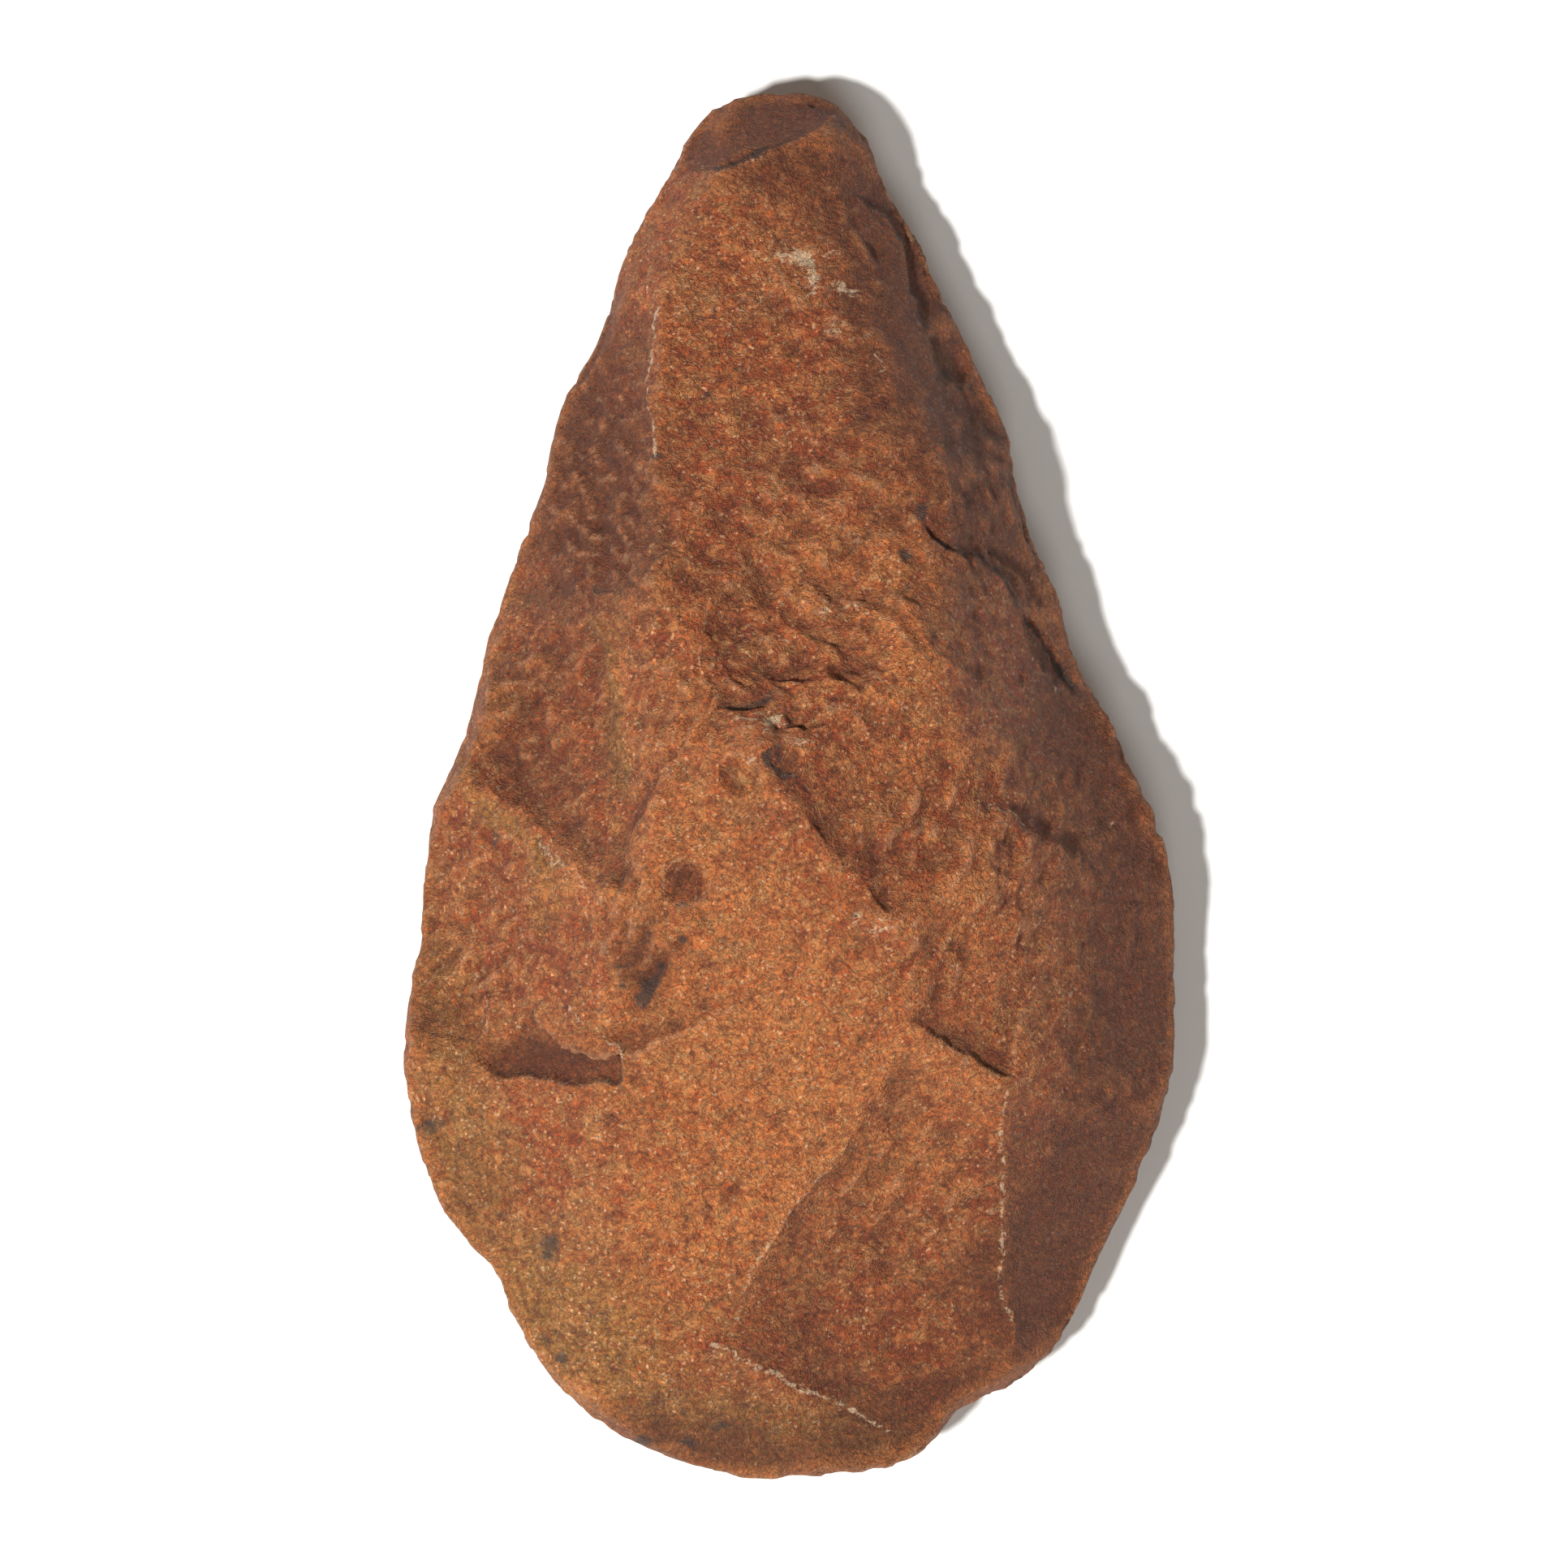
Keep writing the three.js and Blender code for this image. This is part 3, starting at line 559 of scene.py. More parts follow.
tints = {
    "ochre": [
        (-8, -83, 22, 6, 1), (-33, -70, 12, 14, 0.95), (-42, -48, 7, 12, 0.85), (-45, -28, 5, 12, 0.7),
        (-22.7, 10, 1.3, 14, 1), (-31, -14, 3, 6, 0.7), (-44, 2, 5, 7, 0.5), (-40, 14, 4, 6, 0.4),
        (5, -86, 14, 3, 0.8), (-6.5, 1, 3, 2.5, 0.6), (-24, -34, 4, 5, 0.4), (-34, 20, 6, 6, 0.3),
        (-26, -72, 12, 8, 0.6), (-20, -16, 4, 7, 0.4),
    ],
    # umber brown weathering, and painted shade where the stone slopes away from the light: along the rim,
    # at the tip and on the right flank
    "umberAndShade": [
        (14, 62, 9, 22, 0.9), (25, 38, 9, 18, 0.65), (38, 8, 8, 16, 0.7), (44, -24, 8, 22, 0.8),
        (36, -58, 9, 18, 0.9), (2, 86, 15, 9, 1), (10, 76, 7, 8, 0.8), (-24, 38, 9, 14, 0.5),
        (-30, -35, 7, 4, 0.15), (18, -78, 14, 6, 0.4), (-31, -34.8, 8.5, 2.6, 0.75),
        (-46, -30, 5, 2.5, 0.5), (-3, 16, 6, 3.5, 0.2), (-10, 84, 6, 4, 0.6), (-28, 40, 9, 22, 0.7),
        (-35, 8, 7, 12, 0.4), (30, -64, 9, 8, 0.7), (30, 44, 9, 14, 0.2), (36, 14, 6, 10, 0.2),
        (6, -88, 12, 4, 0.5), (0, -71, 7, 6, 0.4), (-19, -23, 3.5, 4.5, 0.9), (-8, -84, 20, 5, 0.4),
        (-41, -52, 6, 9, 0.3),
        (48, -8, 5, 24, 0.9), (46, -48, 7, 16, 1), (38, -69, 8, 9, 0.8), (22, -82, 12, 5, 0.8),
        (-24, -87, 15, 5, 0.9), (-50, 4, 5, 10, 0.9), (-49, -16, 3, 14, 0.4), (12, -64, 8, 10, 0.2),
        (-26, 64, 5, 9, 0.5), (-13.5, -12.4, 2.3, 2.3, 0.7), (-21, -11.7, 1.8, 1.8, 0.5),
    ],
    "rust": [
        (2, 38, 18, 18, 0.7), (4, 15, 12, 8, 0.6), (18, -8, 10, 12, 0.7), (18, -26, 8, 8, 0.7),
        (-8, 40, 8, 8, 0.5), (18, -42, 7, 7, 0.5), (-14, -18, 10, 9, 0.5), (-2, -76, 8, 6, 0.5),
        (-32, -24, 8, 5, 0.5),
    ],
    "light": [
        (-8, -20, 14, 14, 0.9), (-4, -42, 18, 18, 0.8), (20, -14, 8, 10, 0.4), (-14, 8, 5, 14, 0.6),
        (6, 26, 8, 7, 0.5), (-14, -60, 16, 10, 0.6), (12, 4, 8, 6, 0.4), (-29, -13, 5, 3, 0.9),
        (0, 70, 7, 8, 0.6), (6, 28, 12, 9, 0.9), (14, -48, 8, 7, 0.4), (14, 16, 8, 6, 0.7),
        (38, -2, 6, 8, 0.5), (-32, -34, 7, 3, 0.5), (-3, 16, 5, 3, 0.5), (20, -22, 9, 14, 0.6),
        (16, -40, 8, 8, 0.7), (-22, 12, 2, 13, 0.9),
    ],
}

# ochre streaks that follow an arris
tintLines = {
    "ochre": [
        dict(
            strength=1.2, wide=0.9,
            line=[(-26, 22.4), (-24.4, 18.7), (-23.5, 14.9), (-22.8, 10.4), (-22.2, 6.6), (-22.1, -2)],
        ),
        dict(strength=1, wide=1.4, line=[(-43, 0), (-38.5, -3), (-34, -7), (-30.5, -11)]),
    ],
}

# swellings and shallow hollows: x, y, half width, half height and rise
swellings = [
    (31, -9, 6, 3.4, 0.9), (-17, 5, 4, 11, 0.5), (-3, 17, 7, 4, -0.3), (-31, 10, 7, 12, -0.6),
    (-6, 3, 4, 5, 0.6), (20, -22, 6, 5, -0.4), (-33, -34.5, 8, 3, -0.5), (6, 25, 8, 4, 0.5),
    (14, -56, 9, 14, -0.2), (-27, -13, 7, 3, 0.5), (-18, -25, 3, 4, -0.6), (24, -12, 3, 4, 0.4),
]


stoneShape = dict(
    cell=0.7,  # size of the even cells, as fine as the triangle limit lets the whole stone be
    meltRounds=120,  # rounds that melt the flat facets of one flake scar into one another
    arrisAngle=4.5,  # degrees between cells above which an arris is kept
    softRounds=200,  # rounds that wear the arrises down, away from the crisp ones
    undulation=0.26,  # slow swells of a broken face
    ruffles=3.4,  # how strongly all the ruffles stand out
    roughness=0.1,  # crystalline roughness that the light catches
    pitDepth=0.2,  # popped grains
    edgeNicks=0.9,
    restRelief=2,  # how much stronger the relief is on the resting spot
    restDepth=0.1,
    restFade=(0.3, 1.2),  # heights above the floor between which the resting spot ends
    keepOwn=0.6,  # share of its own direction that a cell keeps in one melting round
    settleRounds=30,  # rounds that bring the points back onto the melted cells
    arrisWear=(0.8, 7),  # distances from a crisp arris between which the wear sets in
    edgeWear=(1.5, 5),  # the same, from the stone's edge
    edgeSlope=0.25,  # steeper cells belong to the edge
    refineReach=1.0,
    swells=(17, 7),  # sizes of the undulation
    bends=(5, 1.6),  # size and depth of the bends in the ruffles
    crystals=(2.3, 1.4),  # sizes of the roughness
    pitSize=2.6,
    pitShare=(0.42, 0.75),  # values of the noise between which a pit sinks
    nickSizes=(2.2, 5.5),
    smallWander=(1.9, 0.5),  # size and depth of the bends in a typed line
    largeWander=(6, 0.9),
    discWall=(0.35, 0.15),  # inside and outside the radius of a popped grain
    fineRounds=4,  # how widely the level is evened out before the crests are found
    coarseRounds=40,  # the same, for the hollows and raised places
    crestRange=(0.05, 0.16),
    hollowRange=(0.04, 0.35),
)


def meshPoints(mesh):
    flat = np.empty(len(mesh.vertices) * 3, np.float32)
    mesh.vertices.foreach_get("co", flat)
    return flat.reshape(-1, 3).astype(float) / mm


def setMeshPoints(mesh, points):
    mesh.vertices.foreach_set("co", (points * mm).astype(np.float32).ravel())
    mesh.update()


def meshLoops(mesh):
    faceOf = np.empty(len(mesh.polygons), np.int32)
    mesh.polygons.foreach_get("loop_total", faceOf)
    faceOf = np.repeat(np.arange(len(faceOf)), faceOf)
    corner = np.empty(len(mesh.loops), np.int32)
    mesh.loops.foreach_get("vertex_index", corner)
    edge = np.empty(len(mesh.loops), np.int32)
    mesh.loops.foreach_get("edge_index", edge)
    return faceOf, corner, edge


def spread(values, index, count):
    return np.stack([np.bincount(index, values[:, i], count) for i in range(values.shape[1])], 1)


def unit(vectors):
    return vectors / np.maximum(np.linalg.norm(vectors, axis=1, keepdims=True), 1e-12)


def faceFrames(points, faceOf, corner, faceCount):
    cornersOf = np.bincount(faceOf, minlength=faceCount)[:, None]
    middles = spread(points[corner], faceOf, faceCount) / cornersOf
    following = np.roll(corner, -1)
    last = np.flatnonzero(np.diff(np.append(faceOf, -1)))
    first = np.append(0, last[:-1] + 1)
    following[last] = corner[first]
    across = np.cross(points[corner] - middles[faceOf], points[following] - middles[faceOf])
    return middles, unit(spread(across, faceOf, faceCount))


# the facets of each flake scar melt into one even dish, and the arrises between the scars stay
def meltFacets(mesh):
    shape = stoneShape
    points = meshPoints(mesh)
    faceOf, corner, edge = meshLoops(mesh)
    faceCount = len(mesh.polygons)
    order = np.argsort(edge, kind="stable")
    one, other = faceOf[order[0::2]], faceOf[order[1::2]]
    middles, normals = faceFrames(points, faceOf, corner, faceCount)
    both = np.concatenate([one, other])
    for _ in range(shape["meltRounds"]):
        turn = 2 * (1 - np.einsum("ij,ij->i", normals[one], normals[other]))
        weight = np.exp(-turn / math.radians(shape["arrisAngle"]) ** 2)[:, None]
        drawn = np.concatenate([normals[other] * weight, normals[one] * weight])
        normals = unit(normals * shape["keepOwn"] + spread(drawn, both, faceCount))
    facesAt = np.bincount(corner, minlength=len(points))[:, None]
    for _ in range(shape["settleRounds"]):
        middles = spread(points[corner], faceOf, faceCount) / np.bincount(faceOf)[:, None]
        lift = np.einsum("ij,ij->i", normals[faceOf], middles[faceOf] - points[corner])
        points = points + spread(normals[faceOf] * lift[:, None], corner, len(points)) / facesAt
    setMeshPoints(mesh, points)


def vertexNormals(mesh):
    flat = np.empty(len(mesh.vertices) * 3, np.float32)
    mesh.vertex_normals.foreach_get("vector", flat)
    return flat.reshape(-1, 3).astype(float)


# for each edge, both ways round: the point and its neighbour, and how many neighbours a point has
def neighbours(mesh):
    pairs = np.empty(len(mesh.edges) * 2, np.int32)
    mesh.edges.foreach_get("vertices", pairs)
    one, other = pairs.reshape(-1, 2).T
    both, back = np.concatenate([one, other]), np.concatenate([other, one])
    return both, back, np.bincount(both, minlength=len(mesh.vertices))[:, None]


# rounds the stone off like long burial and handling do, and leaves the crisp arrises and the edge alone
def wearDown(mesh):
    shape = stoneShape
    points, normals = meshPoints(mesh), vertexNormals(mesh)
    both, back, count = neighbours(mesh)
    flat = points[:, :2]
    crisp = np.full(len(points), 1e9)
    for line in crispLines:
        crisp = np.minimum(crisp, alongLine(flat, easedLine(line))[0])
    rim = flat[np.abs(normals[:, 2]) < shape["edgeSlope"]][::7]  # every seventh point is enough
    edge = np.full(len(points), 1e9)
    batch = 8000  # points at a time, to spare memory
    for start in range(0, len(points), batch):
        gap = flat[start : start + batch, None] - rim[None]
        edge[start : start + batch] = np.sqrt((gap**2).sum(2).min(1))
    above = smoothStep(-0.2, 0.2, normals[:, 2])
    patchy = smoothStep(-0.4, 0.5, latticeNoise(points, 15, 31))
    soft = smoothStep(*shape["arrisWear"], crisp) * above + (1 - above) * patchy
    soft *= smoothStep(*shape["edgeWear"], edge) * smoothStep(0.4, 1.5, points[:, 2] + 2 * above)
    for _ in range(shape["softRounds"]):
        level = spread(points[back], both, len(points)) / count
        points = points + (level - points) * soft[:, None] * 0.5
    setMeshPoints(mesh, points)


# smaller cells beside the broken steps, so that their walls are crisp
def refineAlong(mesh, lines, reach):
    points, normals = meshPoints(mesh), vertexNormals(mesh)
    near = np.zeros(len(points), bool)
    for line in lines:
        low, high = line.min(0) - reach, line.max(0) + reach
        within = (points[:, :2] > low).all(1) & (points[:, :2] < high).all(1)
        inside = np.flatnonzero(within & (normals[:, 2] > 0))
        near[inside] |= alongLine(points[inside, :2], line)[0] < reach
    shape = bmesh.new()
    shape.from_mesh(mesh)
    edges = [e for e in shape.edges if near[e.verts[0].index] and near[e.verts[1].index]]
    bmesh.ops.subdivide_edges(shape, edges=edges, cuts=1, use_grid_fill=True)
    shape.to_mesh(mesh)
    shape.free()


# typed lines wander a little, and the same way for what is carved and for what is painted along it
def bentPlaces(points):
    size, deep = stoneShape["smallWander"]
    largeSize, largeDeep = stoneShape["largeWander"]
    small = np.stack([latticeNoise(points, size, 11), latticeNoise(points, size, 12)], 1)
    large = np.stack([latticeNoise(points, largeSize, 13), latticeNoise(points, largeSize, 14)], 1)
    return points[:, :2] + small * deep + large * largeDeep


def reliefHeight(points, normals, flat):
    shape = stoneShape
    upward = smoothStep(0.05, 0.4, normals[:, 2])
    slow, quick = shape["swells"]
    height = shape["undulation"] * (latticeNoise(points, slow, 3) + 0.5 * latticeNoise(points, quick, 4))
    size, deep = shape["bends"]
    bent = points + np.stack([latticeNoise(points, size, 32 + i) for i in range(3)], 1) * deep
    for seed, ruffle in enumerate(ruffles):
        turned = bent @ np.array(Matrix.Rotation(math.radians(-ruffle["turn"]), 3, "Z")).T
        away = (points[:, :2] - ruffle["at"]) / ruffle["reach"]
        strength = np.exp(-((away**2).sum(1) ** 2)) * upward
        stretch = (ruffle["drawn"], 1, 2)
        # the highest of three swells: rounded scales with creases between them
        swells = [latticeNoise(turned, ruffle["wave"], 40 + 3 * seed + i, stretch) for i in range(3)]
        height += shape["ruffles"] * ruffle["high"] * strength * (np.max(swells, axis=0) - 0.2)
    coarse, fine = shape["crystals"]
    height += shape["roughness"] * (latticeNoise(points, coarse, 7) + 0.8 * latticeNoise(points, fine, 8))
    pits = latticeNoise(points, shape["pitSize"], 9)
    height -= shape["pitDepth"] * smoothStep(*shape["pitShare"], pits)
    # the worn edge is nicked all round
    rim = np.exp(-((normals[:, 2] / 0.45) ** 2))
    small, large = shape["nickSizes"]
    nicks = latticeNoise(points, small, 10) + latticeNoise(points, large, 15)
    height -= shape["edgeNicks"] * rim * np.clip(nicks + 0.1, 0, 1)
    for ledge in ledges:
        line = easedLine(ledge["line"], 3)
        reach = ledge["fade"] * 4
        low, high = line.min(0) - reach, line.max(0) + reach
        inside = np.flatnonzero((flat > low).all(1) & (flat < high).all(1) & (upward > 0))
        _, share, signed = alongLine(flat[inside], line, ledge["falls"])
        ends = smoothStep(0, 0.16, share) * smoothStep(0, 0.16, 1 - share)
        wall = ledge["wall"]
        beyond = np.maximum(signed, 0)
        drop = ledge["drop"] * (1 - np.exp(-beyond / wall)) * np.exp(-beyond / ledge["fade"])
        height[inside] -= drop * ends * upward[inside]
    for groove in grooves:
        line = easedLine(groove["line"])
        inside = np.flatnonzero((np.abs(flat - line.mean(0)) < 15).all(1) & (upward > 0))
        distance, share, _ = alongLine(flat[inside], line)
        ends = smoothStep(0, 0.2, share) * smoothStep(0, 0.2, 1 - share)
        depth = groove["deep"] * np.exp(-((distance / groove["wide"]) ** 2))
        height[inside] -= depth * ends * upward[inside]
    within, beyond = shape["discWall"]
    for centre, radius, deep in discs:
        gap = np.hypot(*(points[:, :2] * 0.7 + flat * 0.3 - centre).T)
        height -= deep * (1 - smoothStep(radius - within, radius + beyond, gap)) * upward
    for x, y, wide, tall, rise in swellings:
        away = (flat - (x, y)) / (wide, tall)
        height += rise * np.exp(-(away**2).sum(1)) * upward
    # the solid's flat resting spot is only cut into, and a few high points of it still touch the floor
    free = np.clip(smoothStep(*shape["restFade"], points[:, 2]) + (normals[:, 2] > 0), 0, 1)
    resting = np.minimum(shape["restRelief"] * height - shape["restDepth"], 0)
    return height * free + resting * (1 - free)


def spotsAt(flat, spots):
    total = np.zeros(len(flat))
    for x, y, wide, tall, strength in spots:
        total += strength * np.exp(-(((flat[:, 0] - x) / wide) ** 2 + ((flat[:, 1] - y) / tall) ** 2))
    return np.clip(total, 0, 1)


def linesAt(flat, lines):
    total = np.zeros(len(flat))
    for painted in lines:
        distance, share, _ = alongLine(flat, easedLine(painted["line"]))
        ends = smoothStep(0, 0.05, share) * smoothStep(0, 0.05, 1 - share)
        across = np.exp(-((distance / painted["wide"]) ** 2))
        total = np.maximum(total, painted["strength"] * across * ends)
    return total


# painted shade: the scar on the fallen side of an arris, which faces away from the light, is painted
# browner, and the shade starts sharply at the arris
def paintedFallenShade(flat):
    total = np.zeros(len(flat))
    for ledge in ledges:
        if "shadeTone" in ledge:
            _, share, signed = alongLine(flat, easedLine(ledge["line"], 3), ledge["falls"])
            ends = smoothStep(0, 0.2, share) * smoothStep(0, 0.2, 1 - share)
            beyond = smoothStep(-0.2, 0.4, signed) * np.exp(-np.maximum(signed, 0) / ledge["fade"])
            total = np.maximum(total, ledge["shadeTone"] * beyond * ends)
    return total


def storeAttribute(mesh, name, values):
    attribute = mesh.attributes.new(name, "FLOAT", "POINT")
    attribute.data.foreach_set("value", values.astype(np.float32))


# how far each point stands above (+) or lies below (-) the points round it, evened out over the mesh
def reliefOf(mesh, points, normals, rounds):
    both, back, count = neighbours(mesh)
    level = points.copy()
    for _ in range(rounds):
        level = (level + spread(level[back], both, len(points)) / count) / 2
    return np.einsum("ij,ij->i", points - level, normals)


def makeStone():
    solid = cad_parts["stone_hand_axe"]
    rough = bpy.data.objects.new("rough", solid.data.copy())
    bpy.context.scene.collection.objects.link(rough)
    shape = bmesh.new()
    shape.from_mesh(rough.data)
    bmesh.ops.remove_doubles(shape, verts=shape.verts, dist=0.001 * mm)
    shape.to_mesh(rough.data)
    shape.free()
    even = rough.modifiers.new("even cells", "REMESH")
    even.mode = "VOXEL"
    even.voxel_size = stoneShape["cell"] * mm
    bpy.context.view_layer.update()
    evaluated = rough.evaluated_get(bpy.context.evaluated_depsgraph_get())
    mesh = bpy.data.meshes.new_from_object(evaluated)
    bpy.data.objects.remove(rough)
    print("even cells:", len(mesh.polygons))

    meltFacets(mesh)
    print("facets melted")

    wearDown(mesh)
    print("arrises worn")

    lines = [easedLine(x["line"]) for x in ledges + grooves]
    refineAlong(mesh, lines, stoneShape["refineReach"])
    print("refined:", sum(len(p.vertices) - 2 for p in mesh.polygons), "triangles")

    points, normals = meshPoints(mesh), vertexNormals(mesh)
    carved = bentPlaces(points)
    points += normals * reliefHeight(points, normals, carved)[:, None]
    low, high = (np.array(corner) / mm for corner in cadBox)
    points = np.clip(points, low, high)
    setMeshPoints(mesh, points)
    print("relief carved")

    normals = vertexNormals(mesh)
    wander = np.stack([latticeNoise(points, 2.5, 21), latticeNoise(points, 2.5, 22)], 1) * 1.2
    flat = points[:, :2] + wander
    upward = smoothStep(-0.1, 0.2, normals[:, 2])
    fine = reliefOf(mesh, points, normals, stoneShape["fineRounds"])
    coarse = reliefOf(mesh, points, normals, stoneShape["coarseRounds"])
    storeAttribute(mesh, "crest", smoothStep(*stoneShape["crestRange"], fine))
    # painted shade: the hollows are darkened as if shade fell in them
    storeAttribute(mesh, "hollowShade", smoothStep(*stoneShape["hollowRange"], -coarse))
    # painted light: the raised places are lightened as if they caught more light
    storeAttribute(mesh, "raisedLight", smoothStep(*stoneShape["hollowRange"], coarse))
    pale = np.maximum(spotsAt(points[:, :2] + wander * 0.4, paleSpots), linesAt(carved, paleLines))
    storeAttribute(mesh, "pale", pale * upward)
    # real grey-black stains, together with painted shade along cracks and step feet and in the hole by
    # the knob
    stainAndShade = np.maximum(spotsAt(points[:, :2] + wander * 0.5, stainSpots), linesAt(carved, stainAndShadeLines))
    storeAttribute(mesh, "stainAndShade", stainAndShade * upward)
    # painted shade on the fallen side of the arrises
    storeAttribute(mesh, "fallenShade", paintedFallenShade(carved) * upward)
    for name, spots in tints.items():
        tint = np.maximum(spotsAt(flat, spots), linesAt(carved, tintLines.get(name, [])))
        storeAttribute(mesh, name, tint * upward)

    stone = bpy.data.objects.new("handAxe", mesh)
    bpy.context.scene.collection.objects.link(stone)
    mesh.shade_smooth()
    return stone


# Flaked quartzite is a tight mass of quartz grains held by iron-stained cement. The eye sees an orange
# brown that shifts from patch to patch, dark seams between clumps, and small glints off fresh grains.
# The grains are about 0.2 to 0.4 mm across. They are drawn at 0.55 mm, the finest that shows.
quartzite = dict(
    body="#904618",
    light="#c1773c",
    tan="#af7d48",
    ochre="#8f672b",
    umberAndShade="#582a09",
    # umber brown, also used as painted shade along the rim and on the fallen sides
    rust="#8a3b17",
    rustDeep="#4f220f",
    # painted highlight: a pale colour laid on the glinting grains
    paintedGlint="#e6c59a",
    stainAndShade="#2a2724",
    pale="#dcc4a0",
    bright="#ffd9b8",  # multiplied in on the high side of the grain, as a colour with a gain of its own
    brightGain=1.8,
    shade="#9a6a50",  # multiplied in on the low side
    ior=1.54,  # quartz
    roughness=0.76,  # a broken grainy face, dulled by weathering
    glintRoughness=0.45,
    glintShare=0.85,  # above this share of the grains, a grain has a fresh face
    crystal=0.34,  # mm across one glinting grain
    heights={"clots": 2.6, "fibre": 1.6},  # how high these patterns stand, against the grain as 1
    seamWidth=0.06,
    seamDepth=0.35,
    grainDepth=0.38,  # mm that the light sees as height between grains
)

# the patterns: size in mm, detail, roughness, distortion
patterns = {
    "drift": (24, 3, 0.5, 0.0),  # slow change of colour across the stone
    "patches": (6.5, 3, 0.6, 0.5),
    "clots": (2.6, 5, 0.68, 0.8),  # clots of the same stain
    "veil": (3.6, 4, 0.7, 1.4),  # weathered tan film, drawn out along the flaking
    "clumps": (1.5, 4, 0.65, 1.0),
    "fibre": (1.1, 5, 0.72, 1.2),
    "seam": (1.7, 3, 0.6, 1.5),  # stained cement between clumps of grains
    "grain": (0.55, 4, 0.72, 0.9),
}
drawnOut = {"veil": (-35, 0.6), "fibre": (-40, 0.7)}  # turn in degrees and squeeze along it

# a broken edge for each patch: the pattern that breaks it up, how strongly, and where it fades in
brokenUp = {
    "ochre": ("patches", 0.9, 0.6, 1.3),
    "umberAndShade": ("patches", 0.9, 0.5, 1.2),
    "rust": ("patches", 0.9, 0.6, 1.3),
    "light": ("patches", 0.9, 0.6, 1.3),
    "stainAndShade": ("clots", 2.0, 1.35, 1.75),
    "pale": ("fibre", 2.4, 1.7, 1.95),
}

# from the body colour up: colour, how it is laid on, what it follows, where it starts,
# where it is full, and how much of it
layers = [
    ("tan", "MIX", "patches", 0.48, 0.7, 0.5),
    ("rust", "MIX", "drift", 0.52, 0.3, 0.5),
    ("light", "MIX", "light", 0.0, 1.0, 0.75),
    ("ochre", "MIX", "ochre", 0.0, 1.0, 0.85),
    ("rust", "MIX", "rust", 0.0, 1.0, 0.6),
    ("tan", "MIX", "veil", 0.48, 0.62, 0.55),
    ("light", "MIX", "clots", 0.52, 0.7, 0.5),
    ("tan", "MIX", "clumps", 0.52, 0.62, 0.6),
    ("rust", "MIX", "clumps", 0.48, 0.38, 0.6),
    # painted highlight: the glints off fresh grains are painted in as a pale colour
    ("paintedGlint", "MIX", "crystal", 0.945, 0.97, 0.42),
    # umber patches, partly painted shade along the rim, at the tip and on the right flank
    ("umberAndShade", "MIX", "umberAndShade", 0.0, 1.0, 0.84),
    # painted shade on the fallen side of each arris
    ("umberAndShade", "MIX", "fallenShade", 0.0, 1.0, 0.8),
    ("rustDeep", "MIX", "clots", 0.47, 0.3, 0.7),
    # painted shade in the hollows
    ("rustDeep", "MIX", "hollowShade", 0.0, 1.0, 0.4),
    # painted light on the raised places
    ("light", "MIX", "raisedLight", 0.0, 1.0, 0.3),
    ("bright", "MULTIPLY", "grain", 0.5, 0.7, 1.0),
    ("shade", "MULTIPLY", "grain", 0.5, 0.3, 0.8),
    ("shade", "MULTIPLY", "fibre", 0.47, 0.32, 0.5),
    ("rustDeep", "MIX", "seamLine", 0.025, 0.0, 0.75),
    # stains, and painted shade along cracks, step feet and the hole by the knob
    ("stainAndShade", "MIX", "stainAndShade", 0.0, 1.0, 0.75),
    ("pale", "MIX", "crest", 0.4, 1.0, 0.1),
    ("pale", "MIX", "pale", 0.0, 1.0, 0.55),
]


def addNode(tree, kind, inputs=None, **settings):
    node = tree.nodes.new("ShaderNode" + kind)
    for name, value in settings.items():
        setattr(node, name, value)
    for socket, value in (inputs or {}).items():
        if isinstance(value, bpy.types.NodeSocket):
            tree.links.new(value, node.inputs[socket])
        else:
            node.inputs[socket].default_value = value
    return node


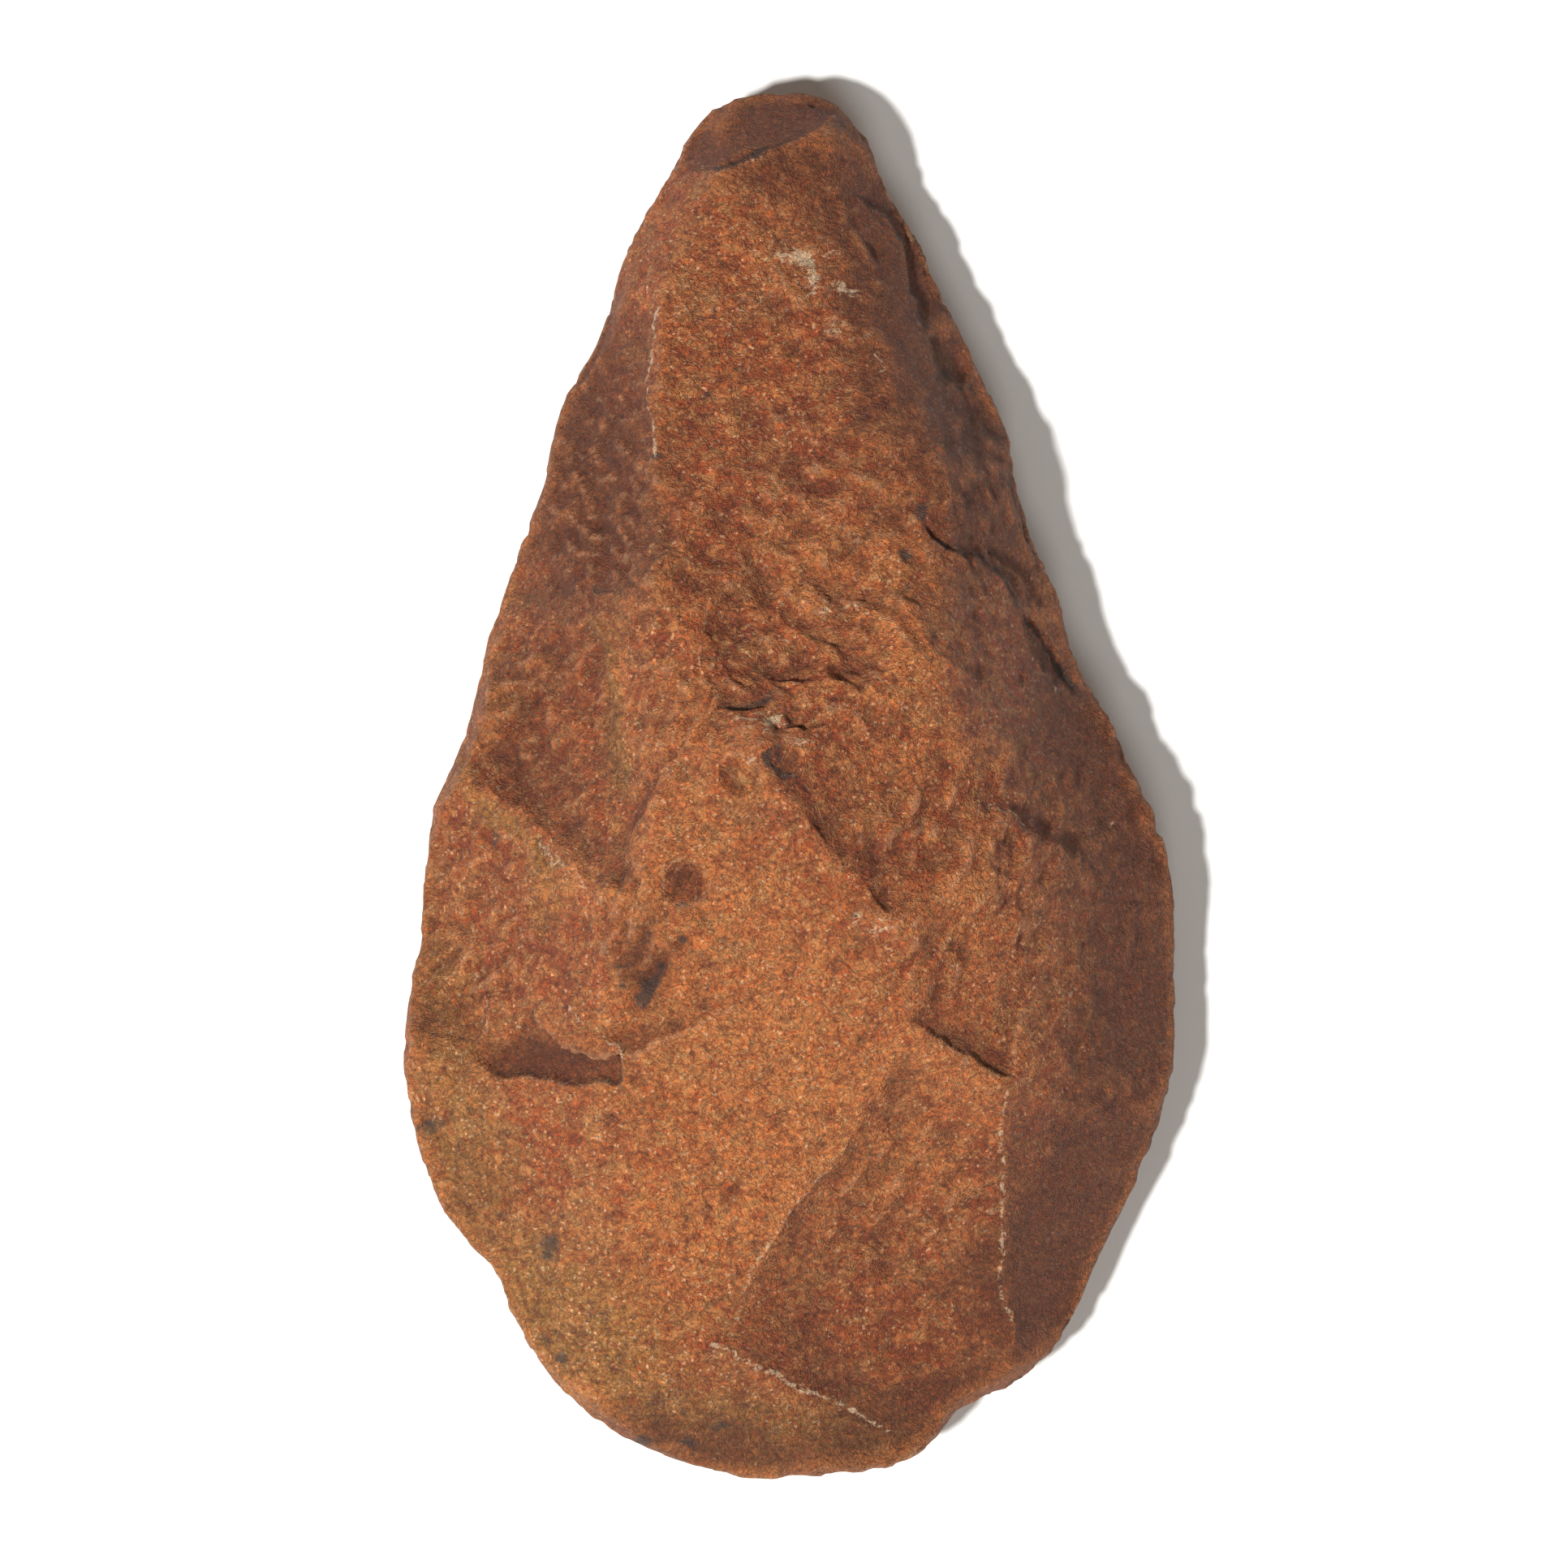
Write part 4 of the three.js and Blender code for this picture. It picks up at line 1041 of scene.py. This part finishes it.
def quartziteMaterial():
    q = quartzite
    colour = {name: linearColour(value) for name, value in q.items() if isinstance(value, str)}
    colour["bright"] = [c * q["brightGain"] for c in colour["bright"][:3]] + [1]
    material = bpy.data.materials.new("quartziteFlaked")
    material.use_nodes = True
    tree = material.node_tree
    tree.nodes.clear()
    place = addNode(tree, "TexCoord").outputs["Object"]

    follows = {}
    for name, (size, detail, rough, bend) in patterns.items():
        vector = place
        if name in drawnOut:
            turn, squeeze = drawnOut[name]
            turned = {"Vector": place, "Rotation": (0, 0, math.radians(turn)), "Scale": (squeeze, 1, 1)}
            vector = addNode(tree, "Mapping", turned).outputs[0]
        inputs = {"Vector": vector, "Scale": 1 / (size * mm), "Detail": detail}
        inputs.update({"Roughness": rough, "Distortion": bend})
        follows[name] = addNode(tree, "TexNoise", inputs).outputs[0]
    inputs = {"Vector": place, "Scale": 1 / (q["crystal"] * mm)}
    cells = addNode(tree, "TexVoronoi", inputs, feature="F1")
    cellColour = addNode(tree, "SeparateColor", {0: cells.outputs["Color"]})
    follows["crystal"] = cellColour.outputs[0]
    # a noise near its middle value is a winding line
    fromMiddle = addNode(tree, "Math", {0: follows["seam"], 1: 0.5}, operation="SUBTRACT")
    seamLine = addNode(tree, "Math", {0: fromMiddle.outputs[0]}, operation="ABSOLUTE")
    follows["seamLine"] = seamLine.outputs[0]
    for name in ("crest", "hollowShade", "raisedLight", "fallenShade"):
        stored = addNode(tree, "Attribute", attribute_type="GEOMETRY", attribute_name=name)
        follows[name] = stored.outputs["Fac"]
    for name, (pattern, share, low, high) in brokenUp.items():
        stored = addNode(tree, "Attribute", attribute_type="GEOMETRY", attribute_name=name)
        ragged = {0: follows[pattern], 1: share, 2: stored.outputs["Fac"]}
        value = addNode(tree, "Math", ragged, operation="MULTIPLY_ADD").outputs[0]
        fade = {"Value": value, "From Min": low, "From Max": high}
        follows[name] = addNode(tree, "MapRange", fade).outputs[0]

    base = colour["body"]
    for name, how, source, low, high, most in layers:
        fade = {"Value": follows[source], "From Min": low, "From Max": high, "To Max": most}
        amount = addNode(tree, "MapRange", fade).outputs[0]
        inputs = {0: amount, 6: base, 7: colour[name]}  # 6 and 7 are the two colours
        base = addNode(tree, "Mix", inputs, data_type="RGBA", blend_type=how).outputs[2]

    height = follows["grain"]
    for name, share in q["heights"].items():
        summed = {0: follows[name], 1: share, 2: height}
        height = addNode(tree, "Math", summed, operation="MULTIPLY_ADD").outputs[0]
    fade = {"Value": follows["seamLine"], "From Max": q["seamWidth"], "To Max": q["seamDepth"]}
    seams = addNode(tree, "MapRange", fade).outputs[0]
    height = addNode(tree, "Math", {0: height, 1: seams}, operation="ADD").outputs[0]
    bumped = {"Strength": 1.0, "Distance": q["grainDepth"] * mm, "Height": height}
    bump = addNode(tree, "Bump", bumped)
    fade = {"Value": cellColour.outputs[1], "From Min": q["glintShare"]}
    fade.update({"To Min": q["roughness"], "To Max": q["glintRoughness"]})
    gloss = addNode(tree, "MapRange", fade)
    inputs = {"Base Color": base, "Roughness": gloss.outputs[0], "IOR": q["ior"]}
    surface = addNode(tree, "BsdfPrincipled", {**inputs, "Normal": bump.outputs[0]})
    addNode(tree, "OutputMaterial", {"Surface": surface.outputs[0]})
    return material


stone = makeStone()
stone.data.materials.clear()
stone.data.materials.append(quartziteMaterial())
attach(stone, "root")
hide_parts("stone_hand_axe")
print("stone dressed")


studio = dict(
    floor="#e9e8e5",
    floorSize=3.0,
    floorRoughness=0.8,
    keyFrom=(210, 60),  # degrees round from +X, degrees above the floor
    keyStrength=4.9,
    keySoftness=6,
    fillFrom=(285, 60),
    fillStrength=0.85,
    fillSoftness=25,
    sky="#f8eee2",
    skyStrength=0.2,
)


def makeFloor():
    half = studio["floorSize"] / 2
    mesh = bpy.data.meshes.new("floor")
    corners = [(-half, -half, 0), (half, -half, 0), (half, half, 0), (-half, half, 0)]
    mesh.from_pydata(corners, [], [(0, 1, 2, 3)])
    floor = bpy.data.objects.new("floor", mesh)
    bpy.context.scene.collection.objects.link(floor)
    material = bpy.data.materials.new("paleFloor")
    material.use_nodes = True
    surface = material.node_tree.nodes["Principled BSDF"]
    surface.inputs["Base Color"].default_value = linearColour(studio["floor"])
    surface.inputs["Roughness"].default_value = studio["floorRoughness"]
    mesh.materials.append(material)


def makeLight(name, comesFrom, strength, softness):
    data = bpy.data.lights.new(name, "SUN")
    data.energy = strength
    data.angle = math.radians(softness)
    lamp = bpy.data.objects.new(name, data)
    bpy.context.scene.collection.objects.link(lamp)
    around, above = (math.radians(x) for x in comesFrom)
    level = math.cos(above)
    towards = Vector((math.cos(around) * level, math.sin(around) * level, math.sin(above)))
    lamp.location = towards * 2
    lamp.rotation_euler = towards.to_track_quat("Z", "Y").to_euler()


makeFloor()
makeLight("key", studio["keyFrom"], studio["keyStrength"], studio["keySoftness"])
makeLight("fill", studio["fillFrom"], studio["fillStrength"], studio["fillSoftness"])
sky = bpy.data.worlds.new("studio")
sky.use_nodes = True
sky.node_tree.nodes["Background"].inputs[0].default_value = linearColour(studio["sky"])
sky.node_tree.nodes["Background"].inputs[1].default_value = studio["skyStrength"]
bpy.context.scene.world = sky
bpy.context.scene.view_settings.view_transform = "Standard"

# straight down on the stone as it lies, tip at the top of the picture, through a long lens
view = dict(middle=(-0.8, 0.2), wide=203.6, edgeHeight=10, distance=1400, sensor=36)
lens = bpy.data.cameras.new("camera")
lens.sensor_width = view["sensor"]
lens.lens = view["sensor"] * view["distance"] / view["wide"]
camera = bpy.data.objects.new("camera", lens)
camera.location = Vector((*view["middle"], view["edgeHeight"] + view["distance"])) * mm
bpy.context.scene.collection.objects.link(camera)
bpy.context.scene.camera = camera
print("studio set")
